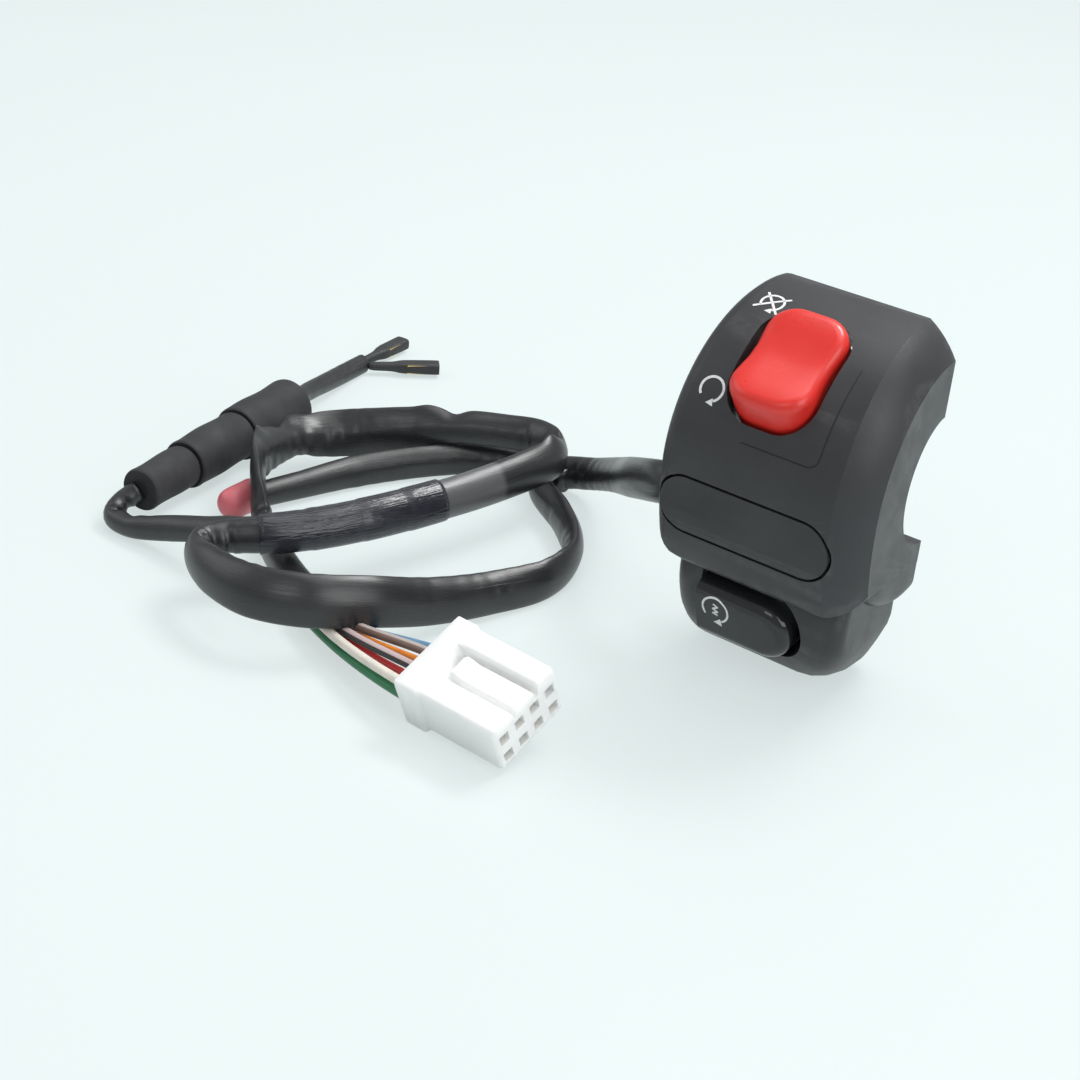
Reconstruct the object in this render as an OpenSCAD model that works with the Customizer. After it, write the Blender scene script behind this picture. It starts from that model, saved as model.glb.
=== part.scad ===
// Right-hand handlebar switch, front half, with its harness laid in a loop.
// X runs along the handlebar towards the grip, -Y faces the rider and Z is up, in millimetres.
// The origin lies on the bar's axis, in the split face, at the right end of the housing.

/* [Handlebar] */
// Diameter of the handlebar that the housing clamps
bar_d = 22.2; // [21.6:0.1:22.6]

/* [Housing] */
// Width along the bar at the split face
body_w = 33.6; // [33:0.2:36]
// Radius of the drum over the bar
drum_r = 26.3; // [26:0.1:27]
// How far the drum's axis lies in front of the bar's axis
drum_out = 1.9; // [1.6:0.1:2.2]
// Wall of the moulding
wall = 2.4; // [2:0.1:2.6]
// Wall at the two ends, where the bar passes
end_wall = 3; // [2.4:0.1:3.2]
// Bevel of the right end
right_round = 5.5; // [4.5:0.1:6]
// Rounding of the left end
left_round = 3; // [2.4:0.1:3.6]
// Lean of the right end face, wider towards the nose, in degrees
right_lean = 5; // [3:0.5:6]
// Lean of the left end face, in degrees
left_lean = 3; // [2:0.5:4]
// Radius of the nose band's front, seen from the side
nose_r = 50; // [44:1:60]
// How far the nose band hangs below the bar's axis
nose_drop = 17; // [16:0.2:17.4]
// Rounding of the nose band's lower corners, seen from the front
nose_corner = 8; // [6:0.5:9]
// Bevel along the nose band's lower edge
nose_bevel = 1.4; // [0.8:0.1:2]
// Radius of the starter pod
pod_r = 17; // [16.6:0.1:17.4]
// How far the pod's axis lies below the bar's axis
pod_down = 20; // [19.6:0.1:20.6]
// How far the pod's axis lies in front of the split face
pod_out = 6; // [5.6:0.1:6.4]
// Rounding of the pod's right end, at the bottom
pod_corner = 10; // [9:0.5:10.5]
// Rounding of the pod's right end, at the front
pod_edge = 2.6; // [2:0.1:3.2]
// How far the pod stops short of the right end, at the split face
pod_in = 2.8; // [2.4:0.1:3]
// Lean of the pod's right end, wider towards the front, in degrees
pod_lean = 6; // [5:0.5:7]
// Rounding of the pod's left end
pod_round = 4.6; // [4:0.2:5]
// Radial wall of the saddles that carry the bar
saddle_wall = 2.2; // [1.8:0.1:2.4]
// Length of each saddle, from the end face inwards
saddle_l = 8; // [6:0.5:9]

/* [Clamp screws] */
// Inside diameter of the threaded inserts
thread_d = 4.2; // [3.8:0.1:4.4]
// Outside diameter of the inserts
insert_d = 6.2; // [5.8:0.1:6.4]
// Length of the inserts
insert_l = 8; // [6:0.5:9]
// Wall of the bosses around the inserts
boss_wall = 1.5; // [1.2:0.1:1.6]
// Height of each boss above or below the bar's axis
boss_z = 17.4; // [17:0.1:17.8]
// Distance of the bosses from the right end
boss_x = 5.2; // [5:0.1:5.6]

/* [Blank cover] */
// Length of the oblong cover
cover_l = 31; // [29:0.5:31.5]
// Height of the oblong cover
cover_h = 9.8; // [9:0.1:10.4]
// Distance of the cover's middle from the right end
cover_x = 18.2; // [17.8:0.1:18.6]
// How far the cover's middle lies below the bar's axis
cover_z = 5.2; // [5:0.1:5.6]
// Gap around the cover
cover_gap = 0.45; // [0.3:0.05:0.6]
// Thickness of the cover at the nose
cover_t = 3.2; // [2.8:0.1:3.4]
// Thickness of the seat behind the cover
cover_back = 2.2; // [1.8:0.1:2.6]
// Diameter of the cover's two pegs
peg_d = 2.5; // [2:0.1:3]
// Distance between the pegs
peg_pitch = 22; // [18:0.5:22]

/* [Kill rocker] */
// Width of the rocker along the bar
rocker_w = 15; // [14.6:0.1:15.2]
// Length of the rocker around the drum
rocker_l = 19.6; // [19:0.1:20]
// Corner radius of the rocker's outline
rocker_corner = 5.6; // [5:0.1:5.8]
// How deep each side is drawn in at the waist
rocker_waist = 0.8; // [0.4:0.1:0.8]
// Height of the two raised ends above the drum's axis
rocker_crest = 28.4; // [28.2:0.1:28.8]
// Depth of the saddle between the raised ends
saddle_depth = 0.9; // [0.6:0.1:1]
// Rounding of the rocker's rim
rocker_rim = 1.8; // [1.4:0.1:2.2]
// Place of the rocker around the drum, in degrees above the nose
rocker_angle = 48; // [46:0.5:50]
// Distance of the rocker's middle from the left end
rocker_left = 14.9; // [14.8:0.1:15.2]
// Tilt each way from the middle, in degrees
rocker_tilt = 9; // [6:0.5:9]
// Gap at the rocker's sides
side_gap = 0.5; // [0.4:0.05:0.6]
// Gap at the rocker's ends
end_gap = 0.7; // [0.6:0.05:0.9]
// Diameter of the pivot pin
pin_d = 2.2; // [2:0.1:2.4]
// Distance of the pin from the drum's axis
pin_out = 22.8; // [22.6:0.1:23]
// Distance from the pin to the tail's round end
tail_l = 6.9; // [6.8:0.1:7]

/* [Starter button] */
// Height of the button's face
button_h = 10.8; // [10.6:0.1:11.2]
// Length of the button, along the bar
button_l = 17.2; // [16.8:0.2:17.6]
// Distance of the button's face from the pod's axis
button_face = 18.8; // [18.4:0.1:19.2]
// Edge rounding of the button
button_round = 2.2; // [1.6:0.1:2.6]
// Direction that the button faces, in degrees above level
button_angle = -15; // [-17:0.5:-13]
// Distance of the button's middle from the right end
button_x = 18.5; // [18.2:0.1:18.8]
// Press of the button
button_travel = 3; // [2:0.1:3]
// Recess above the button and beyond its right end
recess_gap = 1.6; // [1.2:0.1:1.8]
// Diameter of the button's stem
stem_d = 4.6; // [4:0.1:4.8]
// Wire of the return spring
spring_wire = 0.8; // [0.6:0.05:0.9]
// Turns of the return spring
spring_turns = 5; // [4:0.5:5]

/* [Harness] */
// Diameter of the main sleeve
sleeve_d = 6.4; // [5.6:0.1:6.5]
// Thickness of the tape wound on the sleeve
tape_t = 0.5; // [0.3:0.05:0.6]
// Diameter of the branch tube
branch_d = 4; // [3.4:0.1:4]
// Diameter of the capped lead
lead_d = 4.8; // [4:0.1:4.9]
// Diameter of one coloured wire
wire_d = 1.6; // [1.4:0.05:1.7]
// Diameters of the three stepped sleeves on the branch
shrink_d = [8.2, 9.6, 10.8];
// Lengths of the three stepped sleeves
shrink_l = [13, 16.5, 18];
// Diameter of the tube behind the stepped sleeves
terminal_d = 3.8; // [3.4:0.1:3.8]
// Length, width and height of the connector
connector = [20, 15.5, 9];

/* [Hidden] */

$fn = 72;

// Clearances
press_gap = 0.02;
run_gap = 0.05;
seat_gap = 0.05;
free_gap = 0.4;
past = 1;
ease = 0.12;

// Facets around the drum, and how far they reach past its top and bottom, in degrees
drum_steps = 26;
drum_sweep = 98;
nose_steps = 8;

// Steps of the roundings at the ends of the drum and the pod, and how flat the right end's bevel is
right_steps = 6;
left_steps = 5;
right_flat = 0.7;
pod_sides = 48;
pod_steps = 6;

// Places worked out from the driving sizes
bar_r = bar_d / 2;
front = drum_out + drum_r;
table_z = -(pod_down + pod_r);
cover_seat = front - cover_t;
rocker_x = body_w - rocker_left;
far = 60;

// Screws of the two modules
screw_r = 1.1;
screw_head_r = 2;
screw_head_h = 1.2;
screw_l = 8;
post_r = 2;

// Kill module, heights measured from the drum's axis
plate_low = 11.5;
plate_t = 2;
plate_top = plate_low + plate_t;
plate_half = [7.2, 7.5];
wing_half = [11.7, 2.8];
post_x = 9.9;
ear_in = 3.3;
ear_t = 1.9;
ear_r = 1.9;
hub_r = 2.4;
web_t = 4.2;
corner_steps = 8;
rim_steps = 4;
tail_t = 2;
hub_half = ear_in - free_gap;
skirt_low = pin_out - 1.3;
pocket_half = [5.7, 7];
pocket_top = pin_out + 2.6;
tail_half = 2.2;
contact_t = 0.3;
bridge_t = 0.4;
slide_gap = 0.1;
shoe_half = [2.8, 1.8];
shoe_up = 5.6;
sweep_r = pin_out - plate_top - contact_t - slide_gap;
bridge_half = 0.9;

// Starter module, heights measured from the pod's axis
skirt_wall = 1.4;
cap_t = 2.2;
skirt_end = 12;
guide_top = skirt_end - button_travel - 0.6;
guide_low = 4;
frame_low = -2.4;
floor_top = -0.6;
frame_half = [7.4, 4.2];
window_half = 6.3;
stem_low = guide_low - seat_gap;
bridge_low = stem_low - 0.6;
rivet_r = 1.2;
foot = [7.4, 6.8];
foot_t = 2.4;
foot_y = 9;
foot_reach = sqrt(pow(pod_r - wall, 2) - pow(foot_y, 2));
foot_x = 5.5;
pad_x = 4.75;
pad_t = bridge_low - button_travel - floor_top - 0.15;
tab_l = 1.5;
spring_r = 3.2;
button_right = 9.4;

// Grommet in the left end wall
grommet = [-13.5, -9.5];
grommet_r = 4.25;
flange_r = 5.1;
flange_t = 1.4;
grommet_out = -body_w - tan(left_lean) * (flange_r - grommet[0]);
grommet_in = -body_w + end_wall;
lead_in = grommet_in + 1.6;

// Route of the main sleeve: out of the housing, round the front, back under the tape, round the eye and in again
sleeve_route = [
    [-29, -13.5, -9.5], [-36.5, -13.5, -9.5], [-43, -13, -11.5], [-54, -4, -18], [-64, 7, -25],
    [-74, 14, -31], [-82, 13.5, -33.5], [-81, 6.5, -33.5], [-70, -1, -33.5], [-61, -10, -33.5],
    [-58.5, -21, -33.5], [-62, -33, -33], [-65.5, -45, -31], [-69, -56, -28], [-75, -65, -26.5],
    [-84, -69, -26.5], [-94, -68, -27], [-101, -64, -27.5], [-100, -58.5, -27], [-95, -53.5, -26.5],
    [-90.5, -46, -26.5], [-86.5, -36, -26.5], [-82.5, -23, -26.5], [-79, -10, -26], [-77, 2, -25.5],
    [-79, 12, -25.5], [-86, 17, -25.5], [-92, 15, -26.5], [-100, 10, -27.5], [-109, 6, -28],
    [-116, 0, -28], [-122, -7, -28], [-123, -19, -27.6], [-118.5, -30.5, -27.1], [-112, -38, -28.6],
    [-107, -42, -33], [-100, -46.5, -33.7], [-90, -52, -33.7], [-81, -56, -33.7]
];
tape_first = 19;
tape_last = 22;
branch_route = [
    [-93, -50.5, -26.5], [-98, -52, -27], [-105, -54, -29], [-116, -56, -32.5], [-124, -57.5, -34.7],
    [-129.5, -57, -34.8], [-130.5, -54, -33.2], [-129.4, -51, -31.6]
];
stack_start = [-129, -51, -31.6];
stack_end = [-136, -4, -31.6];
terminal_route = [
    [-136, -4, -31.6], [-139.5, 4.5, -32.8], [-143, 18, -34.6], [-144.5, 27.5, -35]
];
lead_route = [
    [-79, 14, -33.8], [-88, 19, -34.5], [-97, 18, -34.5], [-104, 8, -34.5], [-111, -9, -34.5],
    [-114, -24, -34.5], [-117, -34, -34.5]
];
kill_lead_routes = [
    [[lead_in, -14.7, -8.2], [lead_in + 2.5, -16.6, -5], [-rocker_x - 4.3, -16, 0], [-rocker_x - 2, -13.4, 3.4]],
    [[lead_in, -12.3, -8.2], [lead_in + 4.5, -13.6, -5], [-rocker_x - 0.8, -15, -1], [-rocker_x + 2, -13.4, 3.4]]
];
starter_lead_routes = [
    [[lead_in, -14.7, -10.8], [lead_in + 3, -14.2, -12], [-button_x - pad_x, -9, -12.8], [-button_x - pad_x, -3.5, -14],
        pod_point([-pad_x, 0.44, -4.73])],
    [[lead_in, -12.3, -10.8], [lead_in + 5, -12, -10.2], [lead_in + 10, -12, -10.6], [-button_x + pad_x - 0.7, -9, -12.6],
        [-button_x + pad_x, -3.5, -14], pod_point([pad_x, 0.44, -4.73])]
];
inner_lead_d = 1.4;
cap_r = 3.1;
cap_l = 8;
boot = [9, 4.4, 3.2];
neck_l = 6;
neck_r = 1.1;
boot_places = [[-145.4, 28.2, -35.2, 94], [-143, 28, -35.2, 44]];
connector_at = [-50, -61, 0];
connector_turn = -3;
connector_tip = 22;
way_pitch = [3.6, 3.8];
way = 2.4;

sleeve_path = smooth(sleeve_route, 4);
tape_path = [for (i = [tape_first * 4 : tape_last * 4]) sleeve_path[i]];

// Catmull-Rom curve through a list of points, with the given steps between two of them
function between(a, b, c, d, t) =
    0.5 * (2 * b + (c - a) * t + (2 * a - 5 * b + 4 * c - d) * t * t + (3 * b - a - 3 * c + d) * t * t * t);
function smooth(route, steps) = concat(
    [for (i = [0 : len(route) - 2], k = [0 : steps - 1])
        between(route[max(i - 1, 0)], route[i], route[i + 1], route[min(i + 2, len(route) - 1)], k / steps)],
    [route[len(route) - 1]]);

// Directions along a path, and a side direction carried along it without twist
function unit(v) = v / norm(v);
function headings(path) = [for (i = [0 : len(path) - 1])
    unit(path[min(i + 1, len(path) - 1)] - path[max(i - 1, 0)])];
function carried(heads, side, i = 0) = i == len(heads) ? []
    : let (flat = unit(side - (side * heads[i]) * heads[i])) concat([flat], carried(heads, flat, i + 1));

// Least gap between stretches of one tube that are more than a few rings apart
function least_gap(path, d, skip) = min([for (i = [0 : len(path) - 1 - skip], j = [i + skip : len(path) - 1])
    norm(path[i] - path[j])]) - d;

// Solid tube along a path
module tube(path, d, sides, start_side = [0.1, 0.2, 1]) {
    heads = headings(path);
    across = carried(heads, start_side);
    rings = [for (i = [0 : len(path) - 1], k = [0 : sides - 1])
        let (a = 360 * k / sides)
        path[i] + d / 2 * (cos(a) * across[i] + sin(a) * cross(heads[i], across[i]))];
    last = (len(path) - 1) * sides;
    skin = [for (i = [0 : len(path) - 2], k = [0 : sides - 1])
        let (a = i * sides + k, b = i * sides + (k + 1) % sides)
        each [[a, a + sides, b + sides], [a, b + sides, b]]];
    ends = [[for (k = [0 : sides - 1]) k], [for (k = [sides - 1 : -1 : 0]) last + k]];
    polyhedron(points = rings, faces = concat(skin, ends), convexity = 10);
}

// Side outline in Y and Z, drawn out along X
module side_on(from, to) {
    translate([from, 0, 0]) rotate([90, 0, 90]) linear_extrude(to - from) children();
}

// Front outline in X and Z, drawn out towards the rider
module front_on(from, to) {
    translate([0, -from, 0]) rotate([90, 0, 0]) linear_extrude(to - from) children();
}

// Rectangle about the origin with round corners
module round_rect(w, l, r) {
    square([w - 2 * r, l], center = true);
    square([w, l - 2 * r], center = true);
    for (sx = [-1, 1], sy = [-1, 1]) translate([sx * (w / 2 - r), sy * (l / 2 - r)]) circle(r);
}

// Oblong with round ends
module oblong(l, h) {
    square([l - h, h], center = true);
    for (s = [-1, 1]) translate([s * (l - h) / 2, 0]) circle(h / 2);
}

// Local frame on the drum: Z points out of the rocker's face, Y runs up it
module on_drum() {
    translate([-rocker_x, -drum_out, 0]) rotate([90 - rocker_angle, 0, 0]) children();
}

// Local frame on the pod: Z points out of the button's face, Y runs up it
module on_pod() {
    translate([-button_x, -pod_out, -pod_down]) rotate([90 - button_angle, 0, 0]) children();
}

// A point of the pod's local frame in the frame of the part
function pod_point(p) = [p[0] - button_x, -pod_out + p[1] * sin(button_angle) - p[2] * cos(button_angle),
    -pod_down + p[1] * cos(button_angle) + p[2] * sin(button_angle)];

// Skin of rings with the same number of points: its triangles, and the faces that close its two ends
function ring_skin(count, rings) = [for (k = [0 : rings - 2], i = [0 : count - 1])
    let (a = k * count + i, b = k * count + (i + 1) % count)
    each [[a, b, b + count], [a, b + count, a + count]]];
function first_end(count) = [for (i = [count - 1 : -1 : 0]) i];
function last_end(count, rings) = [for (i = [0 : count - 1]) (rings - 1) * count + i];

// Side outline of the drum and its fuller nose: distance to the front, height, and the way it faces
nose_low = nose_bevel - nose_drop;
drum_side = concat(
    [for (i = [0 : drum_steps]) let (a = drum_sweep * (1 - i / drum_steps))
        [drum_out + drum_r * cos(a), drum_r * sin(a), cos(a), sin(a)]],
    [for (i = [1 : nose_steps]) let (z = nose_low * i / nose_steps, a = asin(z / nose_r))
        [front - nose_r + nose_r * cos(a), z, cos(a), sin(a)]],
    [[front - nose_r + nose_r * cos(asin(nose_low / nose_r)) - nose_bevel, -nose_drop, 1, 0]],
    [[-2 * past, -nose_drop, 0, 0]]);

// One ring of the drum: it follows the leaning end face, and the turn goes from the end face to the side
function drum_ring(side, fillet, lean, turn, flat) = [for (p = drum_side)
    let (sunk = fillet * ((1 - flat) * (1 - cos(turn)) + flat * turn / 90),
        w = p[0] - sunk * p[2],
        x = w * tan(lean) - fillet * ((1 - flat) * (1 - sin(turn)) + flat * (1 - turn / 90)))
    [side > 0 ? x : -body_w - x, -w, p[1] - sunk * p[3]]];

// Drum over the bar with its nose and its leaning ends, bevelled at the right and rounded at the left
module drum() {
    rings = concat(
        [for (k = [0 : right_steps]) drum_ring(1, right_round, right_lean, 90 * (1 - k / right_steps), right_flat)],
        [for (k = [0 : left_steps]) drum_ring(-1, left_round, left_lean, 90 * k / left_steps, 0)]);
    count = len(drum_side);
    faces = concat(ring_skin(count, len(rings)), [first_end(count), last_end(count, len(rings))]);
    wide = body_w + front * (tan(right_lean) + tan(left_lean));
    middle = front * tan(right_lean) - wide / 2;
    intersection() {
        polyhedron(points = [for (ring = rings, p = ring) p], faces = faces, convexity = 4);
        front_on(-far, far) translate([middle, far / 2 - nose_drop - ease]) round_rect(wide + ease, far, nose_corner);
    }
}

// Lower part of an end face, around the bar
module end_ring(lean) {
    round = 3;
    r = drum_r - 2 * wall;
    rotate([0, 0, lean]) translate([-ease / 3, -drum_out, 0]) rotate([0, 90, 0]) rotate([0, 0, 90]) rotate_extrude() {
        translate([r - round, -round]) circle(round);
        translate([0, -saddle_l]) square([r - round, saddle_l]);
        translate([0, -saddle_l]) square([r, saddle_l - round]);
    }
}

// Middle of a rounding between the nose and an end face that leans
function rounding(fillet, lean) = [((front - fillet) * sin(lean) - fillet) / cos(lean), fillet - front];

// Points along an arc
function arc(middle, r, from, to, steps) = [for (i = [0 : steps])
    let (a = from + (to - from) * i / steps) middle + r * [cos(a), sin(a)]];

// Outline of the nose band from above, with leaning ends and rounded corners
module nose_plan() {
    deep = drum_r / 2;
    right = rounding(right_round, right_lean);
    left = [-body_w - rounding(left_round, left_lean)[0], rounding(left_round, left_lean)[1]];
    polygon(concat(
        [[deep * tan(right_lean), -deep]],
        arc(right, right_round, right_lean, -90, 12),
        arc(left, left_round, 270, 180 - left_lean, 10),
        [[-body_w - deep * tan(left_lean), -deep]]));
}

// Fuller band at the nose, as the face of the cover
module nose_band() {
    wide = body_w + front * (tan(right_lean) + tan(left_lean));
    middle = front * tan(right_lean) - wide / 2;
    deep = nose_drop + nose_corner;
    intersection() {
        side_on(-far, far / 2) difference() {
            intersection() {
                translate([nose_r - front, 0]) circle(nose_r, $fn = 360);
                translate([-front - past, -nose_drop]) square([front + past - drum_r / 2, nose_drop]);
            }
            translate([-front, -nose_drop]) rotate(-45) square([far, 2 * (nose_bevel + 1)], center = true);
        }
        translate([0, 0, -far]) linear_extrude(2 * far) nose_plan();
        front_on(0, far) translate([middle, nose_corner - deep / 2]) round_rect(wide, deep, nose_corner);
    }
}

// Rounding of the pod's right end: small at the front, growing towards the bottom
function pod_rounding(a) = let (low = min(max(-sin(a) * 1.25 - 0.2, 0), 1))
    pod_edge + (pod_corner - pod_edge) * low * low * (3 - 2 * low);

// One ring of the pod on each side: the turn goes from the end face to the round side
function pod_place(a, r) = [-pod_out - r * cos(a), -pod_down + r * sin(a)];
function pod_right(turn) = [for (i = [0 : pod_sides - 1])
    let (a = -360 * i / pod_sides, q = pod_rounding(a), p = pod_place(a, pod_r - q * (1 - cos(turn))))
    [-pod_in - p[0] * tan(pod_lean) - q * (1 - sin(turn)), p[0], p[1]]];
function pod_left(turn) = [for (i = [0 : pod_sides - 1])
    let (p = pod_place(-360 * i / pod_sides, pod_r - pod_round * (1 - cos(turn))))
    [-body_w + 0.6 + pod_round * (1 - sin(turn)), p[0], p[1]]];

// Starter pod below the drum, whole, with its rounded ends
module pod() {
    rings = concat(
        [for (k = [0 : pod_steps]) pod_right(90 * (1 - k / pod_steps))],
        [for (k = [0 : pod_steps]) pod_left(90 * k / pod_steps)]);
    polyhedron(points = [for (ring = rings, p = ring) p], convexity = 4,
        faces = concat(ring_skin(pod_sides, len(rings)), [first_end(pod_sides), last_end(pod_sides, len(rings))]));
}

// Outer form of the lower boss, which runs out forwards along the pod's right end
module lower_boss() {
    sides = 24;
    r = insert_d / 2 + boss_wall;
    rings = [for (d = [0, 3, 7, 11, 16])
        let (run = max(d - 3, 0), small = r - 0.08 * run)
        [for (i = [0 : sides - 1]) let (a = -360 * i / sides)
            [-boss_x + small * cos(a), -d, -boss_z + 0.12 * run + small * sin(a)]]];
    polyhedron(points = [for (ring = rings, p = ring) p], convexity = 4,
        faces = concat(ring_skin(sides, len(rings)), [first_end(sides), last_end(sides, len(rings))]));
}

// Room inside the drum and the pod, open at the split face
module cavity() {
    translate([-body_w + end_wall, -drum_out, 0]) rotate([0, 90, 0]) {
        cylinder(r = drum_r - wall, h = body_w - end_wall - right_round);
        cylinder(r = drum_r - 2 * wall, h = body_w - 2 * end_wall);
    }
    translate([-body_w + end_wall + wall / 2, -pod_out, -pod_down]) rotate([0, 90, 0])
        cylinder(r = pod_r - wall, h = body_w - end_wall - wall / 2 - pod_in - pod_corner * 0.68);
}

// Saddles for the bar at both ends, below the kill switch
module saddles() {
    for (from = [-saddle_l, past - body_w]) side_on(from, from + saddle_l - past) difference() {
        circle(bar_r + saddle_wall);
        translate([-seat_gap, -far]) square(2 * far);
        translate([-far, 2]) square(2 * far);
    }
}

// One child at each clamp screw, above and below the bar
module at_bosses() {
    for (s = [-1, 1]) translate([-boss_x, 0, s * boss_z]) rotate([90, 0, 0]) children();
}

// One child at each screw of the kill module, then of the starter module, pointing outwards
module at_kill_posts() {
    on_drum() for (s = [-1, 1]) translate([s * post_x, 0, plate_top]) children();
}

module at_starter_posts() {
    on_pod() for (s = [-1, 1]) translate([s * foot_x, -foot_y, guide_low + foot_t]) children();
}

// Opening for the rocker and the fine line that frames it
module rocker_opening() {
    on_drum() translate([0, 0, pin_out - 4])
        linear_extrude(far) round_rect(rocker_w + 2 * side_gap, rocker_l + 2 * end_gap, rocker_corner + side_gap);
}

// Outline of the button: square left end, round right end
module button_outline(up, right, down, left) {
    r = button_h / 2;
    middle = button_right - r;
    translate([button_right - button_l - left, -r - down])
        square([middle - button_right + button_l + left, 2 * r + up + down]);
    translate([middle + right - (up + down) / 2, (up - down) / 2]) circle(r + (up + down) / 2);
}

module button_opening() {
    on_pod() translate([0, 0, guide_top]) linear_extrude(far)
        button_outline(recess_gap, recess_gap, free_gap, free_gap);
}

// Moulded front half of the housing
module front_housing() {
    color([0.13, 0.13, 0.14]) difference() {
        union() {
            difference() {
                intersection() {
                    union() {
                        drum();
                        end_ring(right_lean);
                        translate([-body_w, 0, 0]) mirror([1, 0, 0]) end_ring(left_lean);
                        pod();
                    }
                    translate([-far, -far, -far]) cube([2 * far, far, 2 * far]);
                }
                cavity();
            }
            saddles();
            translate([-boss_x, 0, boss_z]) rotate([90, 0, 0]) cylinder(d = insert_d + 2 * boss_wall, h = insert_l + boss_wall);
            lower_boss();
            front_on(cover_seat - cover_back, cover_seat) translate([-cover_x, -cover_z])
                oblong(cover_l - 3 * cover_gap, cover_h + 2 * cover_gap + 2 * wall);
            at_kill_posts() cylinder(r = post_r, h = drum_r - wall / 2 - plate_top);
            at_starter_posts() cylinder(r = post_r, h = foot_reach - foot_t - guide_low + wall / 2);
        }
        translate([-far, 0, 0]) rotate([0, 90, 0]) cylinder(r = bar_r, h = 2 * far);
        at_bosses() translate([0, 0, -past]) cylinder(d = insert_d + 2 * press_gap, h = insert_l + past);
        front_on(cover_seat, far) translate([-cover_x, -cover_z])
            oblong(cover_l + 2 * cover_gap, cover_h + 2 * cover_gap);
        front_on(cover_seat - 2 * cover_back, far) for (s = [-1, 1])
            translate([s * peg_pitch / 2 - cover_x, -cover_z]) circle(d = peg_d + 2 * seat_gap);
        rocker_opening();
        button_opening();
        translate([-far, grommet[0], grommet[1]]) rotate([0, 90, 0])
            cylinder(r = grommet_r + seat_gap, h = far + grommet_in + past);
        translate([grommet_in, grommet[0], grommet[1]]) rotate([0, 90, 0])
            cylinder(r = flange_r + free_gap, h = saddle_l + past);
        at_kill_posts() translate([0, 0, -past]) cylinder(r = screw_r + press_gap, h = screw_l - plate_t + past);
        at_starter_posts() translate([0, 0, -past]) cylinder(r = screw_r + press_gap, h = screw_l - foot_t + past);
    }
}

// Oblong blanking cover with its two pegs
module blank_cover() {
    color([0.15, 0.15, 0.16]) {
        intersection() {
            nose_band();
            front_on(cover_seat, far) translate([-cover_x, -cover_z]) oblong(cover_l, cover_h);
        }
        front_on(cover_seat - cover_back - past, cover_seat + past / 2) for (s = [-1, 1])
            translate([s * peg_pitch / 2 - cover_x, -cover_z]) circle(d = peg_d);
    }
}

// Brass inserts for the two clamp screws
module screw_inserts() {
    color("goldenrod") at_bosses() difference() {
        cylinder(d = insert_d, h = insert_l);
        translate([0, 0, -past]) cylinder(d = thread_d, h = insert_l + 2 * past);
    }
}

// Rubber grommet with a flange on each side of the end wall
module cable_grommet() {
    color([0.08, 0.08, 0.08]) translate([0, grommet[0], grommet[1]]) rotate([0, 90, 0]) difference() {
        union() {
            translate([0, 0, grommet_out - flange_t]) cylinder(r = flange_r, h = flange_t);
            translate([0, 0, grommet_out - seat_gap]) cylinder(r = grommet_r, h = grommet_in - grommet_out + 3 * seat_gap);
            translate([0, 0, grommet_in + seat_gap]) cylinder(r = flange_r, h = flange_t);
        }
        translate([0, 0, -far]) cylinder(d = sleeve_d + 2 * seat_gap, h = far);
    }
}

// Carrier of the kill switch: plate, two wings and two ears for the pin
module kill_carrier() {
    color([0.2, 0.2, 0.2]) on_drum() difference() {
        union() {
            translate([-plate_half[0], -plate_half[1], plate_low]) cube([2 * plate_half[0], 2 * plate_half[1], plate_t]);
            translate([-wing_half[0], -wing_half[1], plate_low]) cube([2 * wing_half[0], 2 * wing_half[1], plate_t]);
            for (s = [-1, 1]) translate([s * (ear_in + ear_t / 2) - ear_t / 2, 0, 0]) {
                translate([0, -ear_r, plate_top - past]) cube([ear_t, 2 * ear_r, pin_out - plate_top + past]);
                translate([0, 0, pin_out]) rotate([0, 90, 0]) cylinder(r = ear_r, h = ear_t);
            }
        }
        translate([-far / 2, 0, pin_out]) rotate([0, 90, 0]) cylinder(d = pin_d + 2 * press_gap, h = far);
        for (s = [-1, 1]) translate([s * post_x, 0, 0]) cylinder(r = screw_r + run_gap, h = far / 2);
        for (s = [-1, 1]) translate([s * 2 - 0.5 - seat_gap, -5, 0])
            cube([1 + 2 * seat_gap, 1 + 2 * seat_gap, far / 2]);
    }
}

// Steel pivot pin of the rocker
module rocker_pin() {
    color("silver") on_drum() translate([-ear_in - ear_t, 0, pin_out]) rotate([0, 90, 0])
        cylinder(d = pin_d, h = 2 * (ear_in + ear_t));
}

// Two fixed contacts of the kill switch, with tabs through the plate
module kill_contacts() {
    color("darkgoldenrod") on_drum() for (s = [-1, 1]) {
        translate([s * 2 - 0.8, -5 + seat_gap, plate_top]) cube([1.6, 4.7, contact_t]);
        translate([s * 2 - 0.5, -5 + seat_gap, plate_low - tab_l]) cube([1, 1, plate_t + tab_l]);
    }
}

// Outline of the rocker with its round corners and drawn-in waist, inset by the rim's rounding
function rocker_outline(inset) =
    let (hx = rocker_w / 2 - rocker_corner, hy = rocker_l / 2 - rocker_corner, r = rocker_corner - inset,
        corners = [[hx, hy], [-hx, hy], [-hx, -hy], [hx, -hy]],
        edge = [for (c = [0 : 3], i = [0 : corner_steps + 2])
            let (a = 90 * (c + min(i, corner_steps) / corner_steps), past_arc = max(i - corner_steps, 0) / 3)
            corners[c] * (1 - past_arc) + corners[(c + 1) % 4] * past_arc + r * [cos(a), sin(a)]])
    [for (k = [len(edge) - 1 : -1 : 0]) let (p = edge[k])
        [p[0] * (1 - 2 * rocker_waist / rocker_w * rocker_middle(p[1])), p[1]]];

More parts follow.
